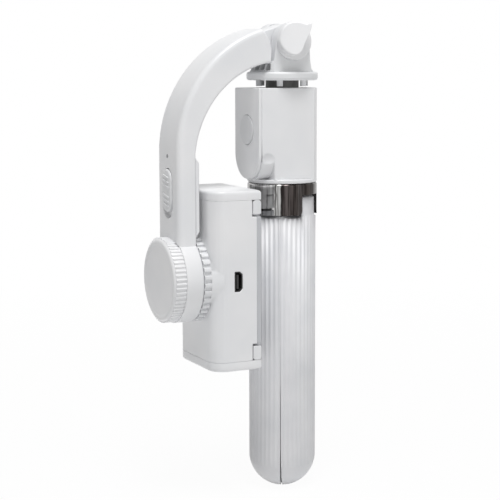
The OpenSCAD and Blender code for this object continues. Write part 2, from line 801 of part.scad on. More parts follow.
// Ring of teeth round the x axis, each one a shallow ridge
module knurl(r, depth, teeth) {
    polygon([for (i = [0 : 4 * teeth - 1])
        (r - ((i % 4) < 2 ? 0 : depth)) * [cos(i * 90 / teeth), sin(i * 90 / teeth)]]);
}
module motor_cap() {
    knurl_d = 0.35;
    bevel = 1;
    rim = motor_r - knurl_d;
    color("white") front() difference() {
        intersection() {
            translate([0, 0, motor_z]) fwd_plan(band_out, cap_out) knurl(rim, knurl_d, cap_teeth);
            translate([band_out, 0, motor_z]) rotate([0, 90, 0]) rotate_extrude() polygon([
                [0, 0], [motor_r, 0], [motor_r, cap_t - bevel], [rim - bevel, cap_t], [0, cap_t]
            ]);
        }
        fwd_rod(band_out - over, cap_out - housing_wall, can_r, motor_z);
    }
}
end_gap = 0.8;
bell_wall = 1;
module motor_stator() {
    magnet_room = 3.6;
    tip_r = can_r - magnet_room;
    tooth_w = 1.3;
    shoe = 0.8;
    core_wall = 1.2;
    x0 = arm_in + housing_wall + end_gap;
    x1 = arm_in + hub_len - end_gap;
    color("peru") front() difference() {
        union() {
            fwd_rod(x0, x1, hub_r + core_wall, motor_z);
            for (i = [0 : poles - 1]) translate([0, 0, motor_z]) rotate([i * 360 / poles, 0, 0]) {
                block(x0, x1, -tooth_w / 2, tooth_w / 2, hub_r, tip_r - shoe / 2);
                block(x0, x1, -tooth_w, tooth_w, tip_r - shoe, tip_r);
            }
        }
        fwd_rod(x0 - over, x1 + over, hub_r, motor_z);
    }
}
module motor_bearings() {
    long = 2.5;
    color("gainsboro") front() for (x = [arm_in + clear, arm_in + hub_len - long]) difference() {
        fwd_rod(x, x + long, bearing_r, motor_z);
        fwd_rod(x - over, x + long + over, shaft_r + fit, motor_z);
    }
}
module rotor_bell() {
    x0 = arm_in + housing_wall + end_gap;
    x1 = arm_in + hub_len + 2 * clear;
    outer = can_r - 2 * clear;
    color("dimgray") front() difference() {
        fwd_rod(x0, x1 + bell_wall, outer, motor_z);
        fwd_rod(x0 - over, x1, outer - 2 * bell_wall, motor_z);
        fwd_rod(x1 - over, x1 + bell_wall + over, shaft_r, motor_z);
    }
}
module motor_shaft() {
    color("silver") front()
        fwd_rod(clamp_back - clamp_wall - boss_h, arm_in + hub_len + 2 * clear + bell_wall, shaft_r, motor_z);
}
module rotor_ring() {
    tooth_d = 0.7;
    color("whitesmoke") front() difference() {
        translate([0, 0, motor_z]) fwd_plan(clamp_back, ring_back) knurl(motor_r, tooth_d, ring_teeth);
        fwd_rod(clamp_back - over, ring_back + over, shaft_r, motor_z);
    }
}

// Clamp

cavity_in = seat_gap + seat_t;
rack_room = 4.3;
divider = cavity_in + rack_room;
divider_t = 1.1;
boss_h = 3;
boss_wall = 2;
cone_h = 4.4;
cone_in = 0.5;
cone_out = 0.9;
lip_gap = 0.9;
end_land = 2;
lip_top = body_top - snap;
lip_bot = body_bot + snap;
lip_pin_r = 0.8;
lip_pin_in = 1.1;
lip_relief = 0.6;
rail_in = cavity_in + clear;
rail_out = divider - clear;
rail_w = 6;
pitch_len = 2 * PI * pinion_r / pinion_teeth;
tooth_add = 0.55;
tooth_ded = 0.75;
root_share = 0.3;
rack_tip_share = 0.13;
pinion_tip_share = 0.1;
rack_over = 3;
spring_len = 22;
spring_foot = lip_bot + lip_h + end_land;

// Plan of the clamp from x0 outwards, inside a wall, with its two upright edges at the back rounded
module clamp_plan(x0 = seat_gap, wall = 0) {
    r = clamp_round - wall;
    half = clamp_w / 2 - wall;
    back = clamp_back - wall;
    translate([x0, -half]) square([back - r - x0, 2 * half]);
    translate([x0, r - half]) square([back - x0, 2 * (half - r)]);
    for (s = [-1, 1]) translate([back - r, s * (half - r)]) circle(r);
}
// Charging socket seen from its side of the clamp: a box with two bevelled corners
module port_outline(inset = 0) {
    t = port_t / 2 - inset;
    w = port_w / 2 - inset;
    c = port_bevel - inset / 2;
    polygon([[t, -w], [t, w], [c - t, w], [-t, w - c], [-t, c - w], [c - t, -w]]);
}
// Room in the body for one lip and the jaw block between its claws
module lip_room() {
    block(seat_gap - over, seat_gap + lip_t + clear, -clamp_w, clamp_w,
        lip_top - lip_h - lip_gap, body_top + over);
}
module flipped() { translate([0, 0, 2 * motor_z]) mirror([0, 0, 1]) children(); }
module clamp_shell() {
    color("white") front() difference() {
        union() {
            translate([0, 0, body_bot]) linear_extrude(body_top - body_bot) clamp_plan();
            translate([clamp_back, 0, motor_z]) rotate([0, -90, 0])
                cylinder(r1 = motor_r - cone_in, r2 = motor_r + cone_out, h = cone_h);
        }
        block(seat_gap - over, cavity_in, -clamp_w, clamp_w, body_bot - over, body_top + over);
        block(cavity_in - over, divider, -clamp_w / 2 + clamp_wall, clamp_w / 2 - clamp_wall,
            body_bot + clamp_wall, body_top - clamp_wall);
        difference() {
            translate([0, 0, body_bot + clamp_wall]) linear_extrude(body_top - body_bot - 2 * clamp_wall)
                clamp_plan(divider + divider_t, clamp_wall);
            fwd_rod(clamp_back - clamp_wall - boss_h, clamp_back, shaft_r + boss_wall, motor_z);
        }
        fwd_rod(clamp_back - clamp_wall - boss_h - over, clamp_back + over, shaft_r, motor_z);
        lip_room();
        flipped() lip_room();
        rail_slot(1);
        flipped() rail_slot(-1);
        translate([port_x, 0, motor_z]) rotate([90, 0, 0]) linear_extrude(clamp_w) port_outline();
        for (p = seat_screw_places) fwd_rod(cavity_in - over, cavity_in + screw_long, small_screw_r, p[1], p[0]);
    }
}
// Way through the end wall for a jaw's rail
module rail_slot(side) {
    y0 = pinion_r - tooth_add - clear;
    translate([0, side > 0 ? 0 : -2 * y0 - rail_w - 2 * clear - tooth_add, 0])
        block(cavity_in - over, divider, y0, y0 + rail_w + tooth_add + 2 * clear,
            body_top - clamp_wall - over, body_top + over);
}
port_wall = 0.4;
port_x = divider + divider_t + port_t / 2 + port_wall;
seat_screw_places = [for (y = [-1, 1], z = [-1, 1])
    [y * (clamp_w / 2 - clamp_wall / 2 - small_screw_r), motor_z + z * (clamp_h / 2 - jaw_t - lip_h - 2 * end_land)]];
module seat_plate() {
    color("gainsboro") front() difference() {
        block(seat_gap, cavity_in, -clamp_w / 2, clamp_w / 2, body_bot, body_top);
        lip_room();
        flipped() lip_room();
        for (p = seat_screw_places) {
            fwd_rod(seat_gap - over, cavity_in + over, small_screw_r + fit, p[1], p[0]);
            fwd_rod(seat_gap - over, seat_gap + screw_seat, small_head_r + fit, p[1], p[0]);
        }
    }
}
module seat_screws() {
    color("silver") front() for (p = seat_screw_places) {
        fwd_rod(seat_gap + screw_seat - fit, cavity_in + screw_long - fit, small_screw_r, p[1], p[0]);
        fwd_rod(seat_gap + fit, seat_gap + screw_seat, small_head_r, p[1], p[0]);
    }
}
board_gap = 1;
board_bot = motor_z - port_w / 2 - board_gap;
module battery() {
    room_share = 0.6;
    x0 = divider + divider_t;
    x1 = x0 + (clamp_back - clamp_wall - x0) * room_share;
    z0 = body_bot + clamp_wall + board_gap;
    z1 = board_bot - board_gap;
    edge = 1.5;
    color("royalblue") front() translate([0, 0, (z0 + z1) / 2])
        fwd_plan(x0, x1) rounded(clamp_w - 2 * clamp_wall - 2 * board_gap, z1 - z0, edge);
}
module control_board() {
    x0 = port_x + port_t / 2;
    half = clamp_w / 2 - clamp_wall - clear;
    color("darkgreen") front()
        block(x0, x0 + board_thick, -half, half, board_bot, body_top - clamp_wall);
}
module usb_socket() {
    long = 5.5;
    color("silver") front() translate([port_x, -clamp_w / 2 + clear, motor_z]) rotate([-90, 0, 0]) difference() {
        linear_extrude(long) port_outline();
        translate([0, 0, -over]) linear_extrude(long - port_wall + over) difference() {
            port_outline(port_wall);
            translate([port_t / 8, 0]) square([port_t / 4, port_w - 6 * port_wall], center = true);
        }
    }
}
// Rack teeth face the pinion across y = 0
module rack_teeth(y_pitch, z0, z1) {
    n0 = ceil((z0 - motor_z) / pitch_len);
    n1 = floor((z1 - motor_z) / pitch_len);
    root = pitch_len * root_share;
    tip = pitch_len * rack_tip_share;
    for (n = [n0 : n1]) translate([y_pitch, motor_z + (n + 1 / 2) * pitch_len])
        polygon([[tooth_ded + over, -root], [-tooth_add, -tip], [-tooth_add, tip], [tooth_ded + over, root]]);
}
module jaw_cap() {
    slant = 1.2;
    intersection() {
        translate([0, 0, body_top]) linear_extrude(jaw_t) clamp_plan();
        fwd_side(clamp_w + over) polygon([
            [seat_gap, body_top], [clamp_back, body_top], [clamp_back, clamp_top - slant],
            [clamp_back - slant, clamp_top], [seat_gap, clamp_top]
        ]);
    }
}
// A jaw: cap over the body's end, block that holds the lip, and a toothed rail inside
module jaw(side) {
    rail_end = motor_z - jaw_travel - rack_over;
    rail_y = pinion_r + tooth_ded;
    difference() {
        union() {
            jaw_cap();
            block(seat_gap, seat_gap + lip_t, -lip_in + clear, lip_in - clear, lip_top - lip_h, body_top + fit);
            mirror([0, side > 0 ? 0 : 1, 0]) {
                block(rail_in, rail_out, rail_y, rail_y + rail_w - tooth_ded, rail_end, body_top + fit);
                fwd_plan(rail_in, rail_out) rack_teeth(pinion_r, rail_end, motor_z + rack_over);
            }
        }
        cross_rod(-clamp_w, clamp_w, lip_pin_r + fit, seat_gap + lip_pin_in, lip_top - lip_pin_in);
    }
}
module upper_jaw() { color("white") front() jaw(1); }
module lower_jaw() { color("white") front() flipped() jaw(-1); }
// Section of a claw: round about its pin, relieved at the back so that it can swing out
module claw_section() {
    translate([seat_gap + lip_pin_in, lip_top - lip_pin_in]) circle(lip_pin_in);
    polygon([
        [seat_gap, lip_top - lip_h], [seat_gap, lip_top - lip_pin_in], [seat_gap + lip_pin_in, lip_top],
        [seat_gap + lip_t - lip_relief, lip_top], [seat_gap + lip_t, lip_top - lip_relief],
        [seat_gap + lip_t, lip_top - lip_h]
    ]);
}
module lip() {
    for (s = [-1, 1]) translate([0, s * (lip_in + clamp_w / 2) / 2, 0])
        fwd_side(clamp_w / 2 - lip_in) claw_section();
    cross_rod(-lip_in, lip_in, lip_pin_r, seat_gap + lip_pin_in, lip_top - lip_pin_in);
}
module upper_lip() { color("white") front() lip(); }
module lower_lip() { color("white") front() flipped() lip(); }
module jaw_pinion() {
    root = pitch_len * root_share;
    tip = pitch_len * pinion_tip_share;
    hub = pinion_r - tooth_ded;
    color("gainsboro") front() difference() {
        translate([0, 0, motor_z]) fwd_plan(rail_in, rail_out) union() {
            circle(hub);
            for (i = [0 : pinion_teeth - 1]) rotate(i * 360 / pinion_teeth) polygon([
                [hub - over, -root], [pinion_r + tooth_add, -tip],
                [pinion_r + tooth_add, tip], [hub - over, root]
            ]);
        }
        fwd_rod(rail_in - over, rail_out + over, small_screw_r, motor_z);
    }
}
module jaw_spring() {
    r = 1.5;
    y = pinion_r + rail_w + r + 2 * clear;
    color("silver") front() difference() {
        translate([(rail_in + rail_out) / 2, y, spring_foot]) cylinder(r = r, h = spring_len);
        translate([(rail_in + rail_out) / 2, y, body_bot]) cylinder(r = r / 2, h = clamp_h);
    }
}

collar();
base_tube();
tube_plug();
leg_pins();
leg_front();
leg_near();
leg_far();
rod_section_1();
rod_section_2();
rod_section_3();
rod_section_4();
rod_section_5();
head_shell();
remote_tub();
remote_face();
shutter_button();
coin_cell();
remote_board();
swivel_post();
swivel_screw();
platform();
hinge_yoke();
tilt_bolt();
hinge_washers();
tilt_knob();
arm_frame();
arm_cover();
cover_screws();
power_slide();
status_lens();
power_board();
motor_cap();
motor_stator();
motor_bearings();
rotor_bell();
motor_shaft();
rotor_ring();
clamp_shell();
seat_plate();
seat_screws();
battery();
control_board();
usb_socket();
upper_jaw();
lower_jaw();
upper_lip();
lower_lip();
jaw_pinion();
jaw_spring();
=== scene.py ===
import bpy
import bmesh
import json
import math
from mathutils import Matrix, Vector


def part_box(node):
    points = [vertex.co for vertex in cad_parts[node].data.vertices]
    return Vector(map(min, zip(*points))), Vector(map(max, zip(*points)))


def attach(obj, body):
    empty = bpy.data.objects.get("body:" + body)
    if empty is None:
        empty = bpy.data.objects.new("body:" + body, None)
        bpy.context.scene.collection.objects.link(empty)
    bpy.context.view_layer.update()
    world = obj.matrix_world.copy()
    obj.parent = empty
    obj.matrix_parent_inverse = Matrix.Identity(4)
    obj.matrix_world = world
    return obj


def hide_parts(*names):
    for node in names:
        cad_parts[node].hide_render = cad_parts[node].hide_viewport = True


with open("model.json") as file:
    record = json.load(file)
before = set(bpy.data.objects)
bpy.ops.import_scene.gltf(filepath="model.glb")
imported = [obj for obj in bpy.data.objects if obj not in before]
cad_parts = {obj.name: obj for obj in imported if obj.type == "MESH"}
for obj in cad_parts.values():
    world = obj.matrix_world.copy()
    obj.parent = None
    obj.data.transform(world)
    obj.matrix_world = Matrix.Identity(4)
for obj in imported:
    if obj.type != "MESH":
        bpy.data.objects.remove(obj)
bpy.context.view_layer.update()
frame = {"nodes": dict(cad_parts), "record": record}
nodes = frame["nodes"]
mm = 0.001   # a size times mm is in metres; the dictionaries of the pieces hold plain millimetres


# colours and nodes

def linear(hexColour):
    channels = [int(hexColour[i:i + 2], 16) / 255 for i in (1, 3, 5)]
    return [c / 12.92 if c <= 0.04045 else ((c + 0.055) / 1.055) ** 2.4 for c in channels] + [1.0]


def addNode(tree, kind, place, settings=None, links=None):
    node = tree.nodes.new(kind)
    node.location = place
    for key, value in (settings or {}).items():
        if key in node.inputs and not hasattr(node, key):
            node.inputs[key].default_value = value
        else:
            setattr(node, key, value)
    for socket, source in (links or {}).items():
        tree.links.new(source, node.inputs[socket])
    return node


def newMaterial(name):
    material = bpy.data.materials.new(name)
    material.use_nodes = True
    tree = material.node_tree
    tree.nodes.clear()
    place = addNode(tree, "ShaderNodeTexCoord", (-1200, 0)).outputs["Object"]
    shader = addNode(tree, "ShaderNodeBsdfPrincipled", (100, 0))
    addNode(tree, "ShaderNodeOutputMaterial", (400, 0), links={"Surface": shader.outputs[0]})
    return material, tree, place, shader


def stops(ramp, colours):
    # colours are pairs of place and hex colour
    band = ramp.color_ramp
    while len(band.elements) > 1:
        band.elements.remove(band.elements[-1])
    for index, (at, colour) in enumerate(colours):
        stop = band.elements[0] if index == 0 else band.elements.new(at)
        stop.position, stop.color = at, linear(colour)
    return ramp.outputs["Color"]


# plastics

mouldedAbs = {
    "body": "#f1f1f2", "shade": "#e9eaec",   # two whites of one moulding
    "blend": (0.35, 0.7),                    # where on the flow noise one turns into the other
    "flowSize": 22 * mm,                     # spacing of the faint flow shading
    "ripple": 2.6 * mm,                      # spacing of the sink ripples that soften its highlights
    "rippleDepth": 0.012 * mm,
    "roughness": (0.26, 0.36),
    "ior": 1.53,
}


def plasticFinish(name, look, grainSize, grainDepth):
    material, tree, place, shader = newMaterial(name)
    flow = addNode(tree, "ShaderNodeTexNoise", (-900, 200),
                   {"Scale": 1 / look["flowSize"], "Detail": 2.0}, {"Vector": place})
    tint = addNode(tree, "ShaderNodeValToRGB", (-600, 250), links={"Fac": flow.outputs["Fac"]})
    colours = zip(look["blend"], (look["body"], look["shade"]))
    tree.links.new(stops(tint, colours), shader.inputs["Base Color"])
    smooth, dull = look["roughness"]
    wipe = addNode(tree, "ShaderNodeMapRange", (-600, -50),
                   {"To Min": smooth, "To Max": dull}, {"Value": flow.outputs["Fac"]})
    tree.links.new(wipe.outputs[0], shader.inputs["Roughness"])
    ripple = addNode(tree, "ShaderNodeTexNoise", (-900, -200),
                     {"Scale": 1 / look["ripple"], "Detail": 1.0}, {"Vector": place})
    grain = addNode(tree, "ShaderNodeTexNoise", (-900, -450),
                    {"Scale": 1 / grainSize, "Detail": 3.0}, {"Vector": place})
    soft = addNode(tree, "ShaderNodeBump", (-400, -250),
                   {"Strength": 1.0, "Distance": look["rippleDepth"]}, {"Height": ripple.outputs["Fac"]})
    fine = addNode(tree, "ShaderNodeBump", (-150, -250), {"Strength": 1.0, "Distance": grainDepth},
                   {"Height": grain.outputs["Fac"], "Normal": soft.outputs[0]})
    tree.links.new(fine.outputs[0], shader.inputs["Normal"])
    shader.inputs["IOR"].default_value = look["ior"]
    return material


def glossAbs():   # polished mould: a clean white with slightly wavy highlights
    return plasticFinish("gloss moulded ABS", mouldedAbs, 0.9 * mm, 0.0008 * mm)


def satinAbs():   # spark-eroded mould: the same white, duller, for the parts a hand rubs
    look = dict(mouldedAbs, body="#ecedee", shade="#e3e4e6", roughness=(0.42, 0.52))
    return plasticFinish("satin moulded ABS", look, 0.5 * mm, 0.004 * mm)


def legNylon():   # filled nylon: greyer and silky, with closer flow shading than the head's
    look = dict(mouldedAbs, body="#e2e2e4", shade="#d8d9dc", roughness=(0.34, 0.46), flowSize=14 * mm)
    return plasticFinish("silky leg nylon", look, 1.2 * mm, 0.0006 * mm)


def softTpe():   # overmoulded rubber: pale grey and matt, so that the phone's seat reads as soft
    look = dict(mouldedAbs, body="#c9cbce", shade="#bfc1c5", roughness=(0.62, 0.75))
    return plasticFinish("matt TPE pad", look, 0.35 * mm, 0.012 * mm)


def darkNylon():   # glass-filled nylon: dark grey with a dry sheen, seen in the gap under the platform
    look = dict(mouldedAbs, body="#626260", shade="#6c6c69", roughness=(0.45, 0.6))
    return plasticFinish("dark filled nylon", look, 0.4 * mm, 0.01 * mm)


def batteryFilm():   # PVC shrink film: a blue skin with soft wrinkles
    look = dict(mouldedAbs, body="#2f5fa8", shade="#274f90", roughness=(0.25, 0.4), rippleDepth=0.06 * mm)
    return plasticFinish("shrink film", look, 0.8 * mm, 0.004 * mm)


def lightPipe():   # smoked acrylic: a small grey dot while its lamp is off
    look = dict(mouldedAbs, body="#7d8285", shade="#6f7477", roughness=(0.2, 0.3))
    return plasticFinish("smoked acrylic", look, 0.3 * mm, 0.006 * mm)


def portBlackAndShade():   # black socket and its tongue: the tongue's black is its own colour, the shell's black is painted shade, a dark mouth with no bright rim
    # painted shade: the metal shell takes the dark of the port's mouth
    look = dict(mouldedAbs, body="#161616", shade="#222222", roughness=(0.5, 0.6))
    return plasticFinish("black socket with painted shade", look, 0.4 * mm, 0.006 * mm)


# chrome: painted reflections, the tones that bright plate picks up from the things round it, laid down in its
# colour as upright bands

chrome = {
    "paintedReflectionBands": [   # painted reflection tones at shares of a turn from -Y by way of -X
        (0.0, "#504b49"), (0.02, "#3b3634"), (0.055, "#5d5756"), (0.078, "#332e2d"), (0.083, "#b4b4b3"),
        (0.098, "#c9c9c8"), (0.101, "#8d8d8c"), (0.104, "#2c2928"), (0.112, "#d6d6d5"), (0.15, "#c4c3c3"),
        (0.2, "#bcbbbb"), (0.26, "#c2c1c0"), (0.3, "#6c6a69"), (0.36, "#b9b9b8"), (0.42, "#3f3c3b"),
        (0.5, "#8b8a89"), (0.58, "#cdcdcc"), (0.64, "#4a4746"), (0.7, "#7a7877"), (0.8, "#4a4645"),
        (0.83, "#a9a8a7"), (0.86, "#2a2625"), (0.885, "#aaa8a7"), (0.905, "#2f2b2a"), (0.93, "#57524f"),
        (0.96, "#332e2c"), (1.0, "#5b5756")],
    "wander": 0.006, "wanderSize": 4 * mm,   # how far the painted bands wander sideways, as a share of a turn
    "paintedStreakWidth": 0.55 * mm, "upright": 0.03,    # width of the painted reflection streaks over them; its share of their length
    "paintedStreakTones": [(0.42, "#2b2523"), (0.55, "#ffffff")], "paintedStreakShare": 0.6,
    "roughness": (0.05, 0.12),
}


def chromeWithPaintedReflections():   # chrome over ABS: painted reflections, hard dark and pale bands in its colour that mark the collar as bright metal
    material, tree, place, shader = newMaterial("chrome plate over ABS with painted reflections")
    parts = addNode(tree, "ShaderNodeSeparateXYZ", (-1000, 200), links={"Vector": place})
    angle = addNode(tree, "ShaderNodeMath", (-800, 200), {"operation": "ARCTAN2"},
                    {0: parts.outputs["X"], 1: parts.outputs["Y"]})
    share = addNode(tree, "ShaderNodeMapRange", (-600, 200),
                    {"From Min": -math.pi, "From Max": math.pi}, {"Value": angle.outputs[0]})
    wander = addNode(tree, "ShaderNodeTexNoise", (-1000, -100),
                     {"Scale": 1 / chrome["wanderSize"], "Detail": 2.0}, {"Vector": place})
    shift = addNode(tree, "ShaderNodeMapRange", (-800, -100),
                    {"To Min": -chrome["wander"], "To Max": chrome["wander"]},
                    {"Value": wander.outputs["Fac"]})
    moved = addNode(tree, "ShaderNodeMath", (-400, 100), {"operation": "ADD"},
                    {0: share.outputs[0], 1: shift.outputs[0]})
    # the painted reflection bands go into the base colour
    tone = addNode(tree, "ShaderNodeValToRGB", (-200, 100), links={"Fac": moved.outputs[0]})
    across = 1 / chrome["paintedStreakWidth"]
    drawn = addNode(tree, "ShaderNodeMapping", (-1000, -500),
                    {"Scale": (across, across, across * chrome["upright"])}, {"Vector": place})
    fine = addNode(tree, "ShaderNodeTexNoise", (-800, -500),
                   {"Scale": 1.0, "Detail": 3.0, "Roughness": 0.6}, {"Vector": drawn.outputs[0]})
    # painted glints and dark reflection streaks, multiplied over the painted bands
    paintedGlints = addNode(tree, "ShaderNodeValToRGB", (-600, -500), links={"Fac": fine.outputs["Fac"]})
    both = addNode(tree, "ShaderNodeMix", (-50, -100), {"data_type": "RGBA", "blend_type": "MULTIPLY"})
    both.inputs["Factor"].default_value = chrome["paintedStreakShare"]
    tree.links.new(stops(tone, chrome["paintedReflectionBands"]), both.inputs["A"])
    tree.links.new(stops(paintedGlints, chrome["paintedStreakTones"]), both.inputs["B"])
    tree.links.new(both.outputs["Result"], shader.inputs["Base Color"])
    smooth, dull = chrome["roughness"]
    haze = addNode(tree, "ShaderNodeMapRange", (-550, -300),
                   {"To Min": smooth, "To Max": dull}, {"Value": wander.outputs["Fac"]})
    tree.links.new(haze.outputs[0], shader.inputs["Roughness"])
    shader.inputs["Metallic"].default_value = 1.0
    return material


# other metals, and the circuit boards

metal = {"blend": (0.3, 0.7), "lineDepth": 0.002 * mm}


def metalFinish(name, pale, dark, lineSize, stretch, roughness):
    # stretch is how fast the lines change along X, Y and Z
    material, tree, place, shader = newMaterial(name)
    drawn = addNode(tree, "ShaderNodeMapping", (-1000, 0),
                    {"Scale": tuple(s / lineSize for s in stretch)}, {"Vector": place})
    lines = addNode(tree, "ShaderNodeTexNoise", (-800, 0),
                    {"Scale": 1.0, "Detail": 4.0}, {"Vector": drawn.outputs[0]})
    tone = addNode(tree, "ShaderNodeValToRGB", (-550, 100), links={"Fac": lines.outputs["Fac"]})
    tree.links.new(stops(tone, zip(metal["blend"], (dark, pale))), shader.inputs["Base Color"])
    smooth, dull = roughness
    haze = addNode(tree, "ShaderNodeMapRange", (-550, -200),
                   {"To Min": smooth, "To Max": dull}, {"Value": lines.outputs["Fac"]})
    tree.links.new(haze.outputs[0], shader.inputs["Roughness"])
    cut = addNode(tree, "ShaderNodeBump", (-250, -300),
                  {"Strength": 1.0, "Distance": metal["lineDepth"]}, {"Height": lines.outputs["Fac"]})
    tree.links.new(cut.outputs[0], shader.inputs["Normal"])
    shader.inputs["Metallic"].default_value = 1.0
    return material


def drawnSteel():   # drawn stainless tube: fine lines along its length
    return metalFinish("drawn stainless tube", "#c9cacb", "#a9abad", 0.12 * mm, (1, 1, 0.02), (0.18, 0.3))


def turnedSteel():   # turned steel: a fine even cut on small screws and pins
    return metalFinish("turned steel", "#c2c3c5", "#9fa1a4", 0.1 * mm, (1, 1, 1), (0.22, 0.34))


def springSteel():   # oiled spring wire: greyer and smoother
    return metalFinish("spring wire", "#a3a5a8", "#86898c", 0.2 * mm, (1, 1, 0.3), (0.25, 0.35))


def darkSteel():   # blackened steel: the dark can of the motor's rotor, with lines along its axis
    return metalFinish("blackened steel", "#5c5d60", "#434447", 0.15 * mm, (0.1, 1, 1), (0.3, 0.45))


def brassShim():   # rolled brass: warm yellow washers
    return metalFinish("rolled brass", "#d9b45f", "#b98f3f", 0.15 * mm, (1, 0.1, 1), (0.25, 0.4))


def copperWinding():   # enamelled copper wire laid in turns
    return metalFinish("enamelled copper", "#c4713c", "#8f4a24", 0.3 * mm, (0.1, 1, 1), (0.25, 0.35))


board = {
    "traceSize": 1.6 * mm, "traceDepth": 0.03 * mm, "roughness": 0.35,
    "tones": [(0.0, "#2f7a4a"), (0.45, "#1c5a34"), (0.55, "#174b2c")],
}


def solderMask():   # circuit board: green mask with brighter traces under it
    material, tree, place, shader = newMaterial("green solder mask")
    settings = {"distance": "MANHATTAN", "feature": "F1", "Scale": 1 / board["traceSize"]}
    traces = addNode(tree, "ShaderNodeTexVoronoi", (-800, 0), settings, {"Vector": place})
    tone = addNode(tree, "ShaderNodeValToRGB", (-550, 100), links={"Fac": traces.outputs["Distance"]})
    tree.links.new(stops(tone, board["tones"]), shader.inputs["Base Color"])
    lift = addNode(tree, "ShaderNodeBump", (-250, -300),
                   {"Strength": 1.0, "Distance": board["traceDepth"]}, {"Height": traces.outputs["Distance"]})
    tree.links.new(lift.outputs[0], shader.inputs["Normal"])
    shader.inputs["Roughness"].default_value = board["roughness"]
    return material


rods = ["rod_section_%d" % k for k in range(1, 6)]
nodesOf = {   # finish: the nodes that have it
    glossAbs: ["head_shell", "remote_tub", "remote_face", "tilt_knob", "arm_frame", "arm_cover", "motor_cap",
               "clamp_shell", "upper_jaw", "lower_jaw"],
    satinAbs: ["shutter_button", "platform", "hinge_yoke", "power_slide", "rotor_ring", "upper_lip",
               "lower_lip", "jaw_pinion"],
    legNylon: ["leg_front", "leg_near", "leg_far"],
    softTpe: ["seat_plate"],
    darkNylon: ["tube_plug", "swivel_post"],
    batteryFilm: ["battery"],
    lightPipe: ["status_lens"],
    portBlackAndShade: ["usb_socket"],
    chromeWithPaintedReflections: ["collar"],
    drawnSteel: ["base_tube"] + rods,
    turnedSteel: ["leg_pins", "coin_cell", "swivel_screw", "tilt_bolt", "cover_screws", "motor_bearings",
                  "motor_shaft", "seat_screws"],
    springSteel: ["jaw_spring"],
    darkSteel: ["rotor_bell"],
    brassShim: ["hinge_washers"],
    copperWinding: ["motor_stator"],
    solderMask: ["remote_board", "power_board", "control_board"],
}
finishOf = {}
for make, names in nodesOf.items():
    finishOf.update(dict.fromkeys(names, make()))
for name, node in nodes.items():
    node.data.materials.clear()
    node.data.materials.append(finishOf[name])
print("finishes:", len(nodesOf))


# helpers that turn outlines, rings and the CAD's own solids into meshes

weld = 1e-6        # points closer than this are one point, m
creaseAngle = 38   # degrees from which an edge stays sharp, unless a piece says otherwise
bodyOf = {name: body for body, names in frame["record"]["behaviour"]["bodies"].items() for name in names}


def meshOf(bm, name):
    mesh = bpy.data.meshes.new(name)
    bm.to_mesh(mesh)
    bm.free()
    return mesh


def linked(name, data):
    obj = bpy.data.objects.new(name, data)
    bpy.context.scene.collection.objects.link(obj)
    return obj


def ringSolid(rings, name, closed=False):
    # quads between neighbouring rings; the ends are capped, or joined to each other when closed
    bm = bmesh.new()
    rows = [[bm.verts.new(Vector(point) * mm) for point in ring] for ring in rings]
    pairs = list(zip(rows, rows[1:])) + ([(rows[-1], rows[0])] if closed else [])
    for low, high in pairs:
        for i in range(len(low)):
            j = (i + 1) % len(low)
            bm.faces.new((low[i], low[j], high[j], high[i]))
    if not closed:
        bm.faces.new(rows[0][::-1])
        bm.faces.new(rows[-1])
    bmesh.ops.recalc_face_normals(bm, faces=bm.faces)
    return meshOf(bm, name)


def inset(outline, amount):
    # an outline drawn inwards (or outwards, when below 0) along the normals at its points
    following = outline[1:] + outline[:1]
    area = sum(a[0] * b[1] - b[0] * a[1] for a, b in zip(outline, following))
    side = 1 if area > 0 else -1
    sharpest = 0.5   # keeps the corner of a thin spike from shooting out
    moved = []
    for before, point, after in zip(outline[-1:] + outline[:-1], outline, following):
        first = Vector((point[0] - before[0], point[1] - before[1])).normalized()
        second = Vector((after[0] - point[0], after[1] - point[1])).normalized()
        along = (first + second).normalized()
        reach = side * amount / max(sharpest, along.dot(second))
        moved.append((point[0] - along[1] * reach, point[1] + along[0] * reach))
    return moved


def roundedLevels(low, high, lowEdge, highEdge, steps=4):
    # pairs of depth and inset for a plate whose two rims are rounded
    def rim(at, edge, inwards):
        if not edge:
            return [(at, 0)]
        turns = [math.pi / 2 * k / steps for k in range(steps + 1)]
        return [(at + inwards * edge * (1 - math.sin(t)), edge * (1 - math.cos(t))) for t in turns]
    return rim(low, lowEdge, 1)[::-1] + rim(high, highEdge, -1)


def plate(outline, levels, place, name):
    # place turns (a, b, depth) into a point
    return ringSolid([[place(a, b, depth) for a, b in inset(outline, cut)] for depth, cut in levels], name)


def turned(profile, place, name, closed=False, count=144):
    # profile is pairs of radius and depth; place turns (a, b, depth) into a point
    turns = [math.tau * k / count for k in range(count)]
    rings = [[place(r * math.cos(t), r * math.sin(t), depth) for t in turns] for r, depth in profile]
    return ringSolid(rings, name, closed)


def stadium(width, length, count=16):
    r, half = width / 2, (length - width) / 2
    turns = [math.pi * k / count for k in range(count + 1)]
    top = [(r * math.cos(t), half + r * math.sin(t)) for t in turns]
    return top + [(-a, -b) for a, b in top]


def boxMesh(low, high):
    outline = [(low[0], low[1]), (high[0], low[1]), (high[0], high[1]), (low[0], high[1])]
    return ringSolid([[(x, y, z) for x, y in outline] for z in (low[2], high[2])], "box")


def plainMesh(obj):
    # what the object's modifiers make, as a mesh of its own; the object is used up
    graph = bpy.context.evaluated_depsgraph_get()
    mesh = bpy.data.meshes.new_from_object(obj.evaluated_get(graph))
    obj.modifiers.clear()
    bpy.data.objects.remove(obj)
    return mesh


def modified(mesh, kind, settings):
    obj = linked("modified", mesh)
    tool = obj.modifiers.new("tool", kind)
    for key, value in settings.items():
        setattr(tool, key, value)
    return plainMesh(obj)


def cutAway(mesh, cutterMesh):
    # takes one closed shape out of another
    cutter = linked("cutter", cutterMesh)
    result = modified(mesh, "BOOLEAN", {"operation": "DIFFERENCE", "solver": "EXACT", "object": cutter})
    bpy.data.objects.remove(cutter)
    return result


def joined(meshes, name):
    bm = bmesh.new()
    for mesh in meshes:
        bm.from_mesh(mesh)
    return meshOf(bm, name)


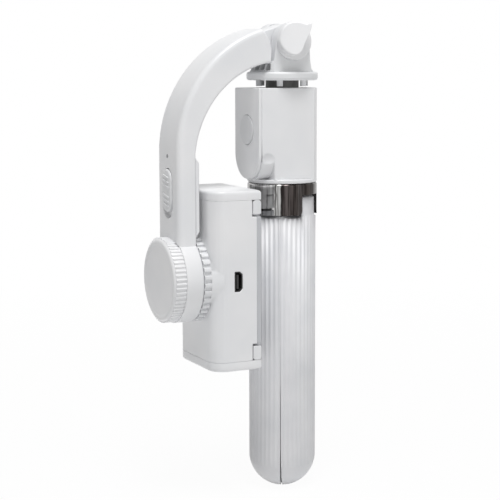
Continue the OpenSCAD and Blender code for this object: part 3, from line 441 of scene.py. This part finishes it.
def weldedSolid(node, flat=None):
    # a CAD solid to work on; faces that bend less than flat degrees become one
    bm = bmesh.new()
    bm.from_mesh(nodes[node].data)
    bmesh.ops.remove_doubles(bm, verts=bm.verts, dist=weld)
    if flat:
        bmesh.ops.dissolve_limit(bm, angle_limit=math.radians(flat), verts=bm.verts, edges=bm.edges)
    return bm


def sliced(bm, height, up=1, clear=False):
    # cuts level with height; clear takes away what lies on the up side
    everything = bm.verts[:] + bm.edges[:] + bm.faces[:]
    return bmesh.ops.bisect_plane(bm, geom=everything, plane_co=(0, 0, height * mm), plane_no=(0, 0, up),
                                  clear_outer=clear)


def shadeBy(mesh, degrees):
    mesh.shade_smooth()
    mesh.set_sharp_from_angle(angle=math.radians(degrees))


def settle(name, mesh, node, degrees=creaseAngle):
    # the piece rides with its node's body and stands for the node
    obj = linked(name, mesh)
    mesh.materials.clear()
    mesh.materials.append(finishOf[node])
    shadeBy(mesh, degrees)
    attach(obj, bodyOf[node])
    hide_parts(node)


def ahead(a, b, depth):
    # the clamp's side is -X: depth runs that way, a along Y and b up
    return (-depth, a, b)


# rings of teeth, by geometry nodes: one rounded bar is swept along the axis and set round it

toothInputs = {   # metres, but for the count
    "Teeth": ("NodeSocketInt", 36), "Ring Radius": ("NodeSocketFloat", 0.01),
    "Width": ("NodeSocketFloat", 0.001), "Height": ("NodeSocketFloat", 0.001),
    "Edge": ("NodeSocketFloat", 0.0002), "Start": ("NodeSocketFloat", 0.0),
    "End": ("NodeSocketFloat", 0.003),
}
toothCorner = 3   # points added at each corner of a tooth's section


def toothTree():
    tree = bpy.data.node_groups.new("tooth ring", "GeometryNodeTree")
    face = tree.interface
    face.new_socket(name="Geometry", in_out="OUTPUT", socket_type="NodeSocketGeometry")
    for title, (kind, value) in toothInputs.items():
        socket = face.new_socket(name=title, in_out="INPUT", socket_type=kind)
        socket.default_value = value
    face.new_socket(name="Finish", in_out="INPUT", socket_type="NodeSocketMaterial")
    given = addNode(tree, "NodeGroupInput", (-1400, 0)).outputs
    foot = addNode(tree, "ShaderNodeCombineXYZ", (-1100, 250),
                   links={"X": given["Ring Radius"], "Z": given["Start"]})
    tip = addNode(tree, "ShaderNodeCombineXYZ", (-1100, 100),
                  links={"X": given["Ring Radius"], "Z": given["End"]})
    path = addNode(tree, "GeometryNodeCurvePrimitiveLine", (-900, 200),
                   links={"Start": foot.outputs[0], "End": tip.outputs[0]})
    section = addNode(tree, "GeometryNodeCurvePrimitiveQuadrilateral", (-1100, -150),
                      links={"Width": given["Height"], "Height": given["Width"]})
    soft = addNode(tree, "GeometryNodeFilletCurve", (-900, -150), {"mode": "POLY"},
                   {"Curve": section.outputs[0], "Radius": given["Edge"]})
    soft.inputs["Count"].default_value = toothCorner
    bar = addNode(tree, "GeometryNodeCurveToMesh", (-650, 100), {"Fill Caps": True},
                  {"Curve": path.outputs[0], "Profile Curve": soft.outputs[0]})
    spots = addNode(tree, "GeometryNodeMeshCircle", (-900, -400), links={"Vertices": given["Teeth"]})
    spots.inputs["Radius"].default_value = 0.0   # all on the axis: the bar itself stands off it
    order = addNode(tree, "GeometryNodeInputIndex", (-900, -600))
    share = addNode(tree, "ShaderNodeMath", (-700, -600), {"operation": "DIVIDE"},
                    {0: order.outputs[0], 1: given["Teeth"]})
    angle = addNode(tree, "ShaderNodeMath", (-500, -600), {"operation": "MULTIPLY"}, {0: share.outputs[0]})
    angle.inputs[1].default_value = math.tau
    turn = addNode(tree, "ShaderNodeCombineXYZ", (-300, -600), links={"Z": angle.outputs[0]})
    ring = addNode(tree, "GeometryNodeInstanceOnPoints", (-100, 0), links={
        "Points": spots.outputs[0], "Instance": bar.outputs[0], "Rotation": turn.outputs[0]})
    real = addNode(tree, "GeometryNodeRealizeInstances", (100, 0), links={"Geometry": ring.outputs[0]})
    dressed = addNode(tree, "GeometryNodeSetMaterial", (300, 0),
                      links={"Geometry": real.outputs[0], "Material": given["Finish"]})
    addNode(tree, "NodeGroupOutput", (500, 0), links={0: dressed.outputs[0]})
    return tree


def grown(tree, values, name):
    # runs a geometry nodes tree once and keeps what it makes as a plain mesh
    obj = linked(name, bpy.data.meshes.new(name))
    tool = obj.modifiers.new(name, "NODES")
    tool.node_group = tree
    for item in tree.interface.items_tree:
        if item.in_out == "INPUT" and item.name in values:
            tool[item.identifier] = values[item.name]
    return plainMesh(obj)


# gimbal motor: a knurled cap with a sunk face, and a ring of square teeth on the rotor's side

motor = {
    "height": 84.3,                                    # of its axis over the foot tips
    "drum": 16.2, "can": 14.45, "wall": 1.6, "shaft": 2.0, "centre": 0.01,   # radii, and the wall
    "back": 39.8, "band": 46.4, "face": 51.2,          # depths of the drum's floor, the cap's root and its face
    "capRoot": 15.45, "capTip": 15.85, "capTeeth": 61,
    "capTooth": (0.84, 0.8, 0.36),                     # width, height and edge
    "capEdge": [(0, 1.0), (0.12, 0.7), (0.6, 0.2), (0.95, 0)],   # in from the root, back from the face
    "rim": 13.2, "sunk": 0.25,
    "rimEdge": [(0.25, 0), (0, 0.19), (-0.3, 0.25)],   # out from the rim, back from the face
    "ridgeEnd": 0.75, "clear": 0.02,                   # where ridges end, back from the face; a tooth's end gap
    "ringRoot": 15.4, "ringTip": 16.2, "ringTeeth": 35, "ringTooth": (1.55, 1.3, 0.3), "ringSpan": (36.6, 39.4),
    "crease": 42,
}
teeth = toothTree()
# stands a ring made round Z on the motor's axis, which points at -X
ontoMotor = Matrix.Translation((0, 0, motor["height"] * mm)) @ Matrix.Rotation(-math.pi / 2, 4, "Y")


def motorPlace(a, b, depth):
    return (-depth, a, motor["height"] + b)


def toothRing(name, count, tip, tooth, span, node):
    width, height, edge = tooth
    sizes = {"Ring Radius": tip - height / 2, "Width": width, "Height": height, "Edge": edge,
             "Start": span[0], "End": span[1]}
    values = {title: size * mm for title, size in sizes.items()}
    values.update({"Teeth": count, "Finish": finishOf[node]})
    mesh = grown(teeth, values, name)
    mesh.transform(ontoMotor)
    return mesh


def motorCap():
    m = motor
    face, floorAt, inside = m["face"], m["face"] - m["sunk"], m["face"] - m["wall"]
    profile = [(m["capRoot"], m["band"])]
    profile += [(m["capRoot"] - a, face - b) for a, b in m["capEdge"]]
    profile += [(m["rim"] + a, face - b) for a, b in m["rimEdge"]]
    profile += [(m["centre"], floorAt), (m["centre"], inside), (m["can"], inside), (m["can"], m["band"])]
    cup = turned(profile, motorPlace, "cup", closed=True)
    span = (m["band"] + m["clear"], face - m["ridgeEnd"])
    ridges = toothRing("ridges", m["capTeeth"], m["capTip"], m["capTooth"], span, "motor_cap")
    settle("motor_cap_knurled", joined([cup, ridges], "motor_cap"), "motor_cap", m["crease"])


def rotorRing():
    m = motor
    low, high = m["ringSpan"]
    core = turned([(m["shaft"], low), (m["ringRoot"], low), (m["ringRoot"], high), (m["shaft"], high)],
                  motorPlace, "core", closed=True)
    span = (low + m["clear"], high - m["clear"])
    blocks = toothRing("blocks", m["ringTeeth"], m["ringTip"], m["ringTooth"], span, "rotor_ring")
    settle("rotor_ring_toothed", joined([core, blocks], "rotor_ring"), "rotor_ring", m["crease"])


motorCap()
rotorRing()
print("motor dressed:", motor["capTeeth"], "ridges and", motor["ringTeeth"], "teeth")


# arm: a softened bar swept up from the motor's drum and over the hinge

arm = {
    "inner": 39.8, "outer": 47.2, "root": 13.0,    # radii about the arc's centre, and depth at the hinge
    "width": 19.0, "edge": 2.0, "innerEdge": 0.8,
    "corner": (15, 7), "support": 0.3,             # a rounding's step and points, and the flat strip beside it
    "foot": {"inside": 15.3, "over": 0.1, "from": 46.35},   # where the bar ends round the motor
    "straights": (102.0, 116.0, 128.0), "arcHeight": 131.1, "sweep": 74.0, "arcSteps": 26,
    "roundOff": (0.16, 0.34, 0.52, 0.69, 0.83, 0.93, 0.985),   # shares of the way round the end
    "bulge": 3.0, "narrowing": 0.7, "edgeShare": 0.8,
    "hinge": 171.8, "eye": 6.6, "eyeWidth": 8.8, "eyeEdge": 0.5, "bolt": 2.05,
    "eyeTurns": range(-96, 106, 6), "tongueRoot": {"in": 1.85, "at": 72},
    "pocket": {"width": 9.0, "length": 18.36, "deep": 1.5, "height": 116.4, "lip": 0.25},
    "dot": {"radius": 0.82, "height": 130.0},
    "recess": {"low": 101.9, "high": 128.3, "half": 7.8, "deep": 1.4},
    "slot": {"low": 111.4, "high": 119.4, "half": 1.8, "past": 0.5},
    "over": 1.0,                                   # how far a cutter reaches past what it cuts
    "hub": {"bore": 4.5, "radius": 5.6, "end": 46.8},
    "drumEdge": [(0.5, 0), (0.15, 0.15), (0, 0.5)], "drumRim": 0.12,
    "crease": 34,
}


def barSection(low, high, half, outerEdge, innerEdge):
    # section of the bar as pairs of radius and Y, with a row of support points beside each rounding
    section = []
    outside = (high - outerEdge, half - outerEdge, outerEdge)
    inside = (low + innerEdge, half - innerEdge, innerEdge)
    step, count = arm["corner"]
    for (r, y, edge), side, start in ((outside, 1, 0), (inside, 1, 90), (inside, -1, 180), (outside, -1, 270)):
        turns = [math.radians(start + step * k) for k in range(count)]
        arc = [(r + edge * math.cos(t), side * y + edge * math.sin(t)) for t in turns]
        before = Vector((math.sin(turns[0]), -math.cos(turns[0]))) * arm["support"]
        after = Vector((-math.sin(turns[-1]), math.cos(turns[-1]))) * arm["support"]
        first, last = [(a[0] + b[0], a[1] + b[1]) for a, b in ((arc[0], before), (arc[-1], after))]
        section += [first] + arc + [last]
    return section


def armBar():
    half, foot = arm["width"] / 2, arm["foot"]
    straight = barSection(arm["inner"], arm["outer"], half, arm["edge"], arm["innerEdge"])
    landing = []
    for r, y in straight:   # the bar ends inside the drum's wall, and clear of the cap in front of it
        reach = foot["inside"] if r < foot["from"] else motor["drum"] + foot["over"]
        landing.append((-r, y, motor["height"] + math.sqrt(reach ** 2 - y ** 2)))
    rings = [landing] + [[(-r, y, z) for r, y in straight] for z in arm["straights"]]

    def sweptRing(section, degrees):
        turn = math.radians(degrees)
        return [(-r * math.cos(turn), y, arm["arcHeight"] + r * math.sin(turn)) for r, y in section]
    for k in range(arm["arcSteps"] + 1):
        share = k / arm["arcSteps"]
        low = arm["inner"] - (arm["root"] - arm["outer"] + arm["inner"]) * share
        section = barSection(low, arm["outer"], half, arm["edge"], arm["innerEdge"])
        rings.append(sweptRing(section, arm["sweep"] * share))
    middle = arm["outer"] - arm["root"] / 2
    for rise in arm["roundOff"]:   # the end rounds off towards the hinge
        reach = arm["root"] / 2 * (1 - 2 * math.asin(rise) / math.pi)
        edge = min(arm["edge"], reach * arm["edgeShare"])
        section = barSection(middle - reach, middle + reach, half - arm["narrowing"] * rise ** 3,
                             edge, min(arm["innerEdge"], edge))
        rings.append(sweptRing(section, arm["sweep"] + arm["bulge"] * rise))
    return ringSolid(rings, "bar")


def pocketCutter():
    p, mouth = arm["pocket"], arm["outer"]
    levels = [(mouth - p["deep"], 0), (mouth - p["lip"], 0), (mouth, -p["lip"]),
              (mouth + arm["over"], -p["lip"])]
    return plate([(a, b + p["height"]) for a, b in stadium(p["width"], p["length"])], levels, ahead, "pocket")


def armTongue():
    # the eye that the tilt bolt passes through
    def onArc(r):
        turn = math.radians(arm["tongueRoot"]["at"])
        return (-r * math.cos(turn), arm["arcHeight"] + r * math.sin(turn))

    def upright(a, b, depth):
        return (a, depth, b)
    eye, half, inside = arm["eye"], arm["eyeWidth"] / 2, arm["tongueRoot"]["in"]
    turns = [math.radians(t) for t in arm["eyeTurns"]]
    outline = [(eye * math.cos(t), arm["hinge"] + eye * math.sin(t)) for t in turns]
    outline += [onArc(arm["outer"] - inside), onArc(arm["outer"] - arm["root"] + inside)]
    tongue = plate(outline, roundedLevels(-half, half, arm["eyeEdge"], arm["eyeEdge"]), upright, "tongue")
    reach = half + arm["over"]
    bore = turned([(arm["bolt"], -reach), (arm["bolt"], reach)],
                  lambda a, b, depth: upright(a, b + arm["hinge"], depth), "bore", count=32)
    return cutAway(tongue, bore)


def armDrum():
    m, hub = motor, arm["hub"]
    floorAt = m["back"] + m["wall"]
    profile = [(hub["bore"], m["back"])] + [(m["drum"] - a, m["back"] + b) for a, b in arm["drumEdge"]]
    profile += [(m["drum"], m["band"] - arm["drumRim"]), (m["drum"] - arm["drumRim"], m["band"]),
                (m["can"], m["band"]), (m["can"], floorAt), (hub["radius"], floorAt),
                (hub["radius"], hub["end"]), (hub["bore"], hub["end"])]
    return turned(profile, motorPlace, "drum", closed=True)


def armFrame():
    over = arm["over"]
    bar = cutAway(armBar(), pocketCutter())
    r = arm["recess"]
    bar = cutAway(bar, boxMesh((-arm["inner"] - r["deep"], -r["half"], r["low"]),
                               (-arm["inner"] + over, r["half"], r["high"])))
    s = arm["slot"]
    bar = cutAway(bar, boxMesh((-arm["outer"] + over, -s["half"], s["low"]),
                               (-arm["inner"] + s["past"], s["half"], s["high"])))
    dot = arm["dot"]
    bar = cutAway(bar, turned([(dot["radius"], arm["outer"] - over), (dot["radius"], arm["outer"] + over)],
                              lambda a, b, depth: ahead(a, b + dot["height"], depth), "dot", count=24))
    settle("arm_bar", joined([bar, armTongue(), armDrum()], "arm_frame"), "arm_frame", arm["crease"])


armFrame()
print("arm swept")


# power slide: a pad with two groups of slanted finger ribs

slide = {
    "width": 8.4, "length": 15.76, "height": 117.4, "floor": 45.75, "top": 47.85, "edge": 0.7,
    "ribs": [(5.2, 2.3), (3.5, 2.7), (1.8, 2.8)],   # how far off the middle each stands, and its half length
    "ribThick": 0.6, "ribTop": 48.2, "ribEdge": 0.22, "slant": 12.0, "ribEnds": 8,
    "neck": {"from": 41.8, "half": 1.5}, "lap": 0.1, "crease": 40,
}


def powerSlide():
    s, neck = slide, slide["neck"]
    pad = plate([(a, b + s["height"]) for a, b in stadium(s["width"], s["length"])],
                roundedLevels(s["floor"], s["top"], 0, s["edge"]), ahead, "pad")
    stem = boxMesh((-s["floor"] - s["lap"], -neck["half"], s["height"] - neck["half"]),
                   (-neck["from"], neck["half"], s["height"] + neck["half"]))
    parts = [pad, stem]
    lean = Matrix.Rotation(math.radians(s["slant"]), 2)
    levels = roundedLevels(s["top"] - s["lap"], s["ribTop"], 0, s["ribEdge"])
    for side in (1, -1):
        for offset, half in s["ribs"]:
            leaned = [lean @ Vector((a, b)) for b, a in stadium(s["ribThick"], 2 * half, s["ribEnds"])]
            outline = [(point[0], point[1] + s["height"] + side * offset) for point in leaned]
            parts.append(plate(outline, levels, ahead, "rib"))
    settle("power_slide_ribbed", joined(parts, "power_slide"), "power_slide", s["crease"])


powerSlide()
print("power slide ribbed")


# thumb knob: a round flange and a leaf that rises to a leaning crest with an ear

knob = {
    "height": 171.8, "bore": 2.1, "radius": 6.9, "near": -9.25, "far": -11.05,   # Y of the flange's two faces
    "edge": 0.6, "chamfer": 0.3, "rim": 0.7, "rimSteps": 5, "crease": 50,
    "leaf": [   # X and Z from the bolt
        (-7.4, -0.3), (-7.1, 2.2), (-6.1, 4.6), (-3.9, 6.6), (-1.2, 7.35), (1.0, 7.0), (2.5, 6.5), (3.7, 6.75),
        (4.35, 6.7), (4.1, 5.3), (3.3, 3.0), (2.4, 0.9), (1.5, -0.9), (0.5, -3.0), (-0.7, -4.6), (-2.4, -5.3),
        (-4.3, -4.7), (-6.1, -3.0)],
    "middle": (-1.4, 0.6), "sunk": 0.4, "inwards": (0.86, 0.78, 0.66, 0.54, 0.42, 0.3, 0.18, 0.06),
    "low": 1.7, "crest": 5.35, "lean": 24.0,        # heights of the leaf; turn of the line it rises along
    "from": -6.9, "to": 1.5, "bow": 1.45,           # where on that line it rises, and how it curves
}


def throughPoints(points, between=5):
    # a closed smooth line through the given points
    count, line = len(points), []
    for i in range(count):
        p = [Vector(points[(i + k) % count]) for k in (-1, 0, 1, 2)]
        for step in range(between):
            t = step / between
            line.append(0.5 * (2 * p[1] + (p[2] - p[0]) * t + (2 * p[0] - 5 * p[1] + 4 * p[2] - p[3]) * t * t
                               + (3 * p[1] - p[0] - 3 * p[2] + p[3]) * t ** 3))
    return line


def knobLeaf():
    k = knob
    middle, outline = Vector(k["middle"]), throughPoints(k["leaf"])
    lean = math.radians(k["lean"])
    across = Vector((math.cos(lean), -math.sin(lean)))

    def rise(point):
        share = min(1.0, max(0.0, (across.dot(point) - k["from"]) / (k["to"] - k["from"])))
        return k["low"] + (k["crest"] - k["low"]) * share ** k["bow"]

    def spot(point, height):
        return (point[0], k["far"] - height, k["height"] + point[1])
    rings = [[spot(p, -k["sunk"]) for p in outline]]
    for step in range(k["rimSteps"] + 1):
        turn = math.pi / 2 * step / k["rimSteps"]
        back, drop = k["rim"] * (1 - math.cos(turn)), k["rim"] * (1 - math.sin(turn))
        inner = [p - (p - middle).normalized() * back for p in outline]
        rings.append([spot(p, rise(p) - drop) for p in inner])
    for share in k["inwards"]:
        spots = [middle + (p - middle) * share for p in outline]
        rings.append([spot(p, rise(p)) for p in spots])
    return ringSolid(rings, "leaf")


def tiltKnob():
    bore, radius, near, far = knob["bore"], knob["radius"], knob["near"], knob["far"]
    edge = knob["edge"]
    chamfer = knob["chamfer"] * edge
    profile = [(bore, near), (radius, near), (radius, far + edge), (radius - chamfer, far + chamfer),
               (radius - edge, far), (bore, far)]
    flange = turned(profile, lambda a, b, depth: (a, depth, knob["height"] + b), "flange", closed=True)
    settle("tilt_knob_leaf", joined([knobLeaf(), flange], "tilt_knob"), "tilt_knob", knob["crease"])


tiltKnob()
print("knob shaped")


# legs: the CAD's fluted shells, with the seams between them drawn close above the feet

legs = {
    "angles": {"leg_front": 180, "leg_near": 300, "leg_far": 60},
    "wedge": 60, "flat": 0.5, "crease": 48,          # half of a leg's share of the round, in degrees
    "cuts": (36.0, 44.0), "from": 43.9,              # the seams close between the cuts, and stay so above them
    "seam": 0.24, "closeBy": 0.085, "reach": 7.0,    # walls this near a seam move this far, past this radius
}


def legShell(node, degrees):
    bm = weldedSolid(node, legs["flat"])
    for height in legs["cuts"]:
        sliced(bm, height)
    for side in (-1, 1):
        turn = math.radians(degrees + legs["wedge"] * side)
        along = Vector((math.cos(turn), math.sin(turn), 0))
        off = Vector((-math.sin(turn), math.cos(turn), 0)) * side
        for vertex in bm.verts:
            gap = -vertex.co.dot(off)
            outside = vertex.co.z > legs["from"] * mm and vertex.co.dot(along) > legs["reach"] * mm
            if outside and 0 < gap < legs["seam"] * mm:
                vertex.co += off * legs["closeBy"] * mm
    bmesh.ops.triangulate(bm, faces=bm.faces)
    settle(node + "_fluted", meshOf(bm, node), node, legs["crease"])


for node, degrees in legs["angles"].items():
    legShell(node, degrees)
print("legs seamed")


# jaws: a softly rounded cap on the claws and racks of the CAD's solid

jaws = {
    "joints": {"upper_jaw": (114.2, 1), "lower_jaw": (54.4, -1)},   # height where the cap meets the clamp; side
    "seat": 17.3, "back": 36.6, "half": 17.0, "corner": 6.0, "cornerSteps": 10,
    "thick": 3.5, "edge": 1.15, "footEdge": 0.1, "edgeSteps": 6, "clear": 0.02, "lap": 0.05,
}


def jawPiece(node, height, side):
    # side is 1 for a cap above the clamp, -1 for one below it
    j = jaws
    turns = [math.pi / 2 * k / j["cornerSteps"] for k in range(j["cornerSteps"] + 1)]
    corner, end = j["corner"], j["half"] - j["clear"]
    back, half = j["back"] - corner, j["half"] - corner
    outline = [(back + corner * math.cos(t), half + corner * math.sin(t)) for t in turns]
    outline += [(j["seat"], end), (j["seat"], -end)]
    outline += [(back + corner * math.sin(t), -half - corner * math.cos(t)) for t in turns]
    rims = roundedLevels(0, j["thick"], j["footEdge"], j["edge"], j["edgeSteps"])
    levels = [(height + side * rise, cut) for rise, cut in rims]

    def onSeat(a, b, depth):   # the face towards the phone stays flat
        return (-max(a, j["seat"]), b, depth)
    cap = plate(outline, levels, onSeat, "cap")
    bm = weldedSolid(node)
    cut = sliced(bm, height + side * j["lap"], side, clear=True)
    rim = [item for item in cut["geom_cut"] if isinstance(item, bmesh.types.BMEdge)]
    bmesh.ops.triangle_fill(bm, edges=rim, use_beauty=True)
    bmesh.ops.recalc_face_normals(bm, faces=bm.faces)
    settle(node + "_capped", joined([cap, meshOf(bm, "claws")], node), node)


for node, (height, side) in jaws["joints"].items():
    jawPiece(node, height, side)
print("jaws capped")


# mouldings: the CAD solids with their edges rounded as a mould leaves them

mouldedEdges = {   # node: edge radius
    "collar": 0.25, "head_shell": 0.5, "remote_face": 0.45, "shutter_button": 0.3, "platform": 0.25,
    "hinge_yoke": 0.45, "arm_cover": 0.4, "clamp_shell": 0.35, "upper_lip": 0.3, "lower_lip": 0.3,
    "seat_plate": 0.25,
}
rounding = {
    "flat": 1, "from": 32, "segments": 3,       # degrees that still count as flat, and that get rounded
    "ofShortest": 0.42, "least": 0.08,          # widest rounding by a short edge; a smaller share gets none
    "headFrom": 45, "headCrease": 62,           # the head's wide curves stay smooth up to larger angles
    "cone": {"reach": 18.5, "beyond": -30.0},   # the clamp's cone is left as it is: radius, and X
}


def onCone(vertex):
    cone = rounding["cone"]
    off = math.hypot(vertex.co.y, vertex.co.z - motor["height"] * mm)
    return off < cone["reach"] * mm and vertex.co.x < cone["beyond"] * mm


def moulded(node, radius):
    head, cone = node == "head_shell", node == "clamp_shell"
    roundFrom = math.radians(rounding["headFrom" if head else "from"])
    crease = rounding["headCrease"] if head else creaseAngle
    bm = weldedSolid(node, rounding["flat"])
    weight = bm.edges.layers.float.new("bevel_weight_edge")
    for edge in bm.edges:
        if len(edge.link_faces) != 2 or edge.calc_face_angle(0) < roundFrom:
            continue
        if cone and all(onCone(vertex) for vertex in edge.verts):
            continue
        shortest = min(other.calc_length() for vertex in edge.verts for other in vertex.link_edges)
        share = min(1.0, rounding["ofShortest"] * shortest / radius)
        edge[weight] = share if share > rounding["least"] else 0.0
    mesh = modified(meshOf(bm, node), "BEVEL", {"limit_method": "WEIGHT", "width": radius,
                                                "segments": rounding["segments"], "use_clamp_overlap": False})
    lowest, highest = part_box(node)
    for vertex in mesh.vertices:   # the rounding never stands out of the solid's own box
        vertex.co = [min(max(c, low), high) for c, low, high in zip(vertex.co, lowest, highest)]
    shadeBy(mesh, crease)
    # large flats stay flat beside their roundings
    mesh = modified(mesh, "WEIGHTED_NORMAL", {"keep_sharp": True})
    settle(node + "_moulded", mesh, node, crease)


for node, radius in mouldedEdges.items():
    moulded(node, radius * mm)
print("mouldings:", len(mouldedEdges))


# floor, light and camera

studio = {
    "white": "#ffffff", "floor": "#f6f6f6", "floorRoughness": 0.9, "floorHalf": 20.0,   # half its side, metres
    "fade": (0.08, 0.5), "glow": (0.96, 1.0),   # metres from the foot, and how white the floor is there
    "fill": 0.25, "aim": (-0.02, 0, 0.09),
    "lamps": {   # power in watts, size and place in metres
        "top light": (6.5, 0.42, (-0.12, -0.3, 1.0)), "side light": (1.12, 0.8, (0.15, -0.95, 0.4))},
}


def pureWhite(tree, place):
    # what the camera, gloss and glass see of the studio is plain white
    seen = addNode(tree, "ShaderNodeLightPath", (-600, place))
    either = addNode(tree, "ShaderNodeMath", (-400, place), {"operation": "MAXIMUM"},
                     {0: seen.outputs["Is Camera Ray"], 1: seen.outputs["Is Glossy Ray"]})
    every = addNode(tree, "ShaderNodeMath", (-200, place), {"operation": "MAXIMUM"},
                    {0: either.outputs[0], 1: seen.outputs["Is Transmission Ray"]})
    return every.outputs[0]


def studioSky():
    world = bpy.data.worlds.new("studio")
    bpy.context.scene.world = world
    world.use_nodes = True
    tree = world.node_tree
    tree.nodes.clear()
    fill = addNode(tree, "ShaderNodeBackground", (0, 100), {"Strength": studio["fill"]})
    white = addNode(tree, "ShaderNodeBackground", (0, -100), {"Strength": 1.0})
    for shade in (fill, white):
        shade.inputs["Color"].default_value = linear(studio["white"])
    mixed = addNode(tree, "ShaderNodeMixShader", (200, 0),
                    links={0: pureWhite(tree, 300), 1: fill.outputs[0], 2: white.outputs[0]})
    addNode(tree, "ShaderNodeOutputWorld", (400, 0), links={"Surface": mixed.outputs[0]})


def studioPaper():
    # the paper shows its own shade near the foot and turns plain white further out
    material, tree, place, shader = newMaterial("studio paper")
    shader.inputs["Base Color"].default_value = linear(studio["floor"])
    shader.inputs["Roughness"].default_value = studio["floorRoughness"]
    glow = addNode(tree, "ShaderNodeEmission", (100, -400), {"Strength": 1.0})
    glow.inputs["Color"].default_value = linear(studio["white"])
    away = addNode(tree, "ShaderNodeVectorMath", (-600, 300), {"operation": "LENGTH"}, {"Vector": place})
    (near, far), (least, most) = studio["fade"], studio["glow"]
    plain = addNode(tree, "ShaderNodeMapRange", (-300, 300),
                    {"From Min": near, "From Max": far, "To Min": least, "To Max": most},
                    {"Value": away.outputs["Value"]})
    lit = addNode(tree, "ShaderNodeMath", (100, 300), {"operation": "MULTIPLY"},
                  {0: pureWhite(tree, 500), 1: plain.outputs[0]})
    veil = addNode(tree, "ShaderNodeMixShader", (300, -200),
                   links={0: lit.outputs[0], 1: shader.outputs[0], 2: glow.outputs[0]})
    out = [node for node in tree.nodes if node.type == "OUTPUT_MATERIAL"][0]
    tree.links.new(veil.outputs[0], out.inputs["Surface"])
    material.cycles.emission_sampling = "NONE"   # its glow is only seen, and isn't aimed at as a lamp
    return material


def studioFloor():
    bm = bmesh.new()
    bmesh.ops.create_grid(bm, x_segments=1, y_segments=1, size=studio["floorHalf"])
    mesh = meshOf(bm, "floor")
    mesh.materials.append(studioPaper())
    floor = linked("floor", mesh)


def softLamp(name, power, size, place):
    lamp = bpy.data.lights.new(name, "AREA")
    lamp.energy, lamp.shape, lamp.size = power, "DISK", size
    obj = linked(name, lamp)
    obj.location = place
    obj.rotation_euler = (Vector(studio["aim"]) - Vector(place)).to_track_quat("-Z", "Y").to_euler()
    obj.visible_camera = False


camera = {   # distance from the handle's axis, height over the foot tips, tilt in degrees downwards
    "azimuth": 27.03, "distance": 524 * mm, "height": 163.5 * mm, "tilt": 7.1,
    "focalPixels": 1374, "axisPixel": (282.1, 235), "framePixels": 500, "sensor": 36.0,
}


def studioCamera():
    c = camera
    lens = bpy.data.cameras.new("camera")
    eye = linked("camera", lens)
    turn, middle = math.radians(c["azimuth"]), c["framePixels"] / 2
    eye.location = (-math.sin(turn) * c["distance"], -math.cos(turn) * c["distance"], c["height"])
    eye.rotation_euler = (math.pi / 2 - math.radians(c["tilt"]), 0, -turn)
    lens.sensor_width = c["sensor"]
    lens.lens = c["sensor"] * c["focalPixels"] / c["framePixels"]
    lens.shift_x = (middle - c["axisPixel"][0]) / c["framePixels"]
    lens.shift_y = (c["axisPixel"][1] - middle) / c["framePixels"]
    bpy.context.scene.camera = eye


studioSky()
studioFloor()
for name, (power, size, place) in studio["lamps"].items():
    softLamp(name, power, size, place)
studioCamera()
bpy.context.scene.view_settings.view_transform = "Standard"
print("studio ready")
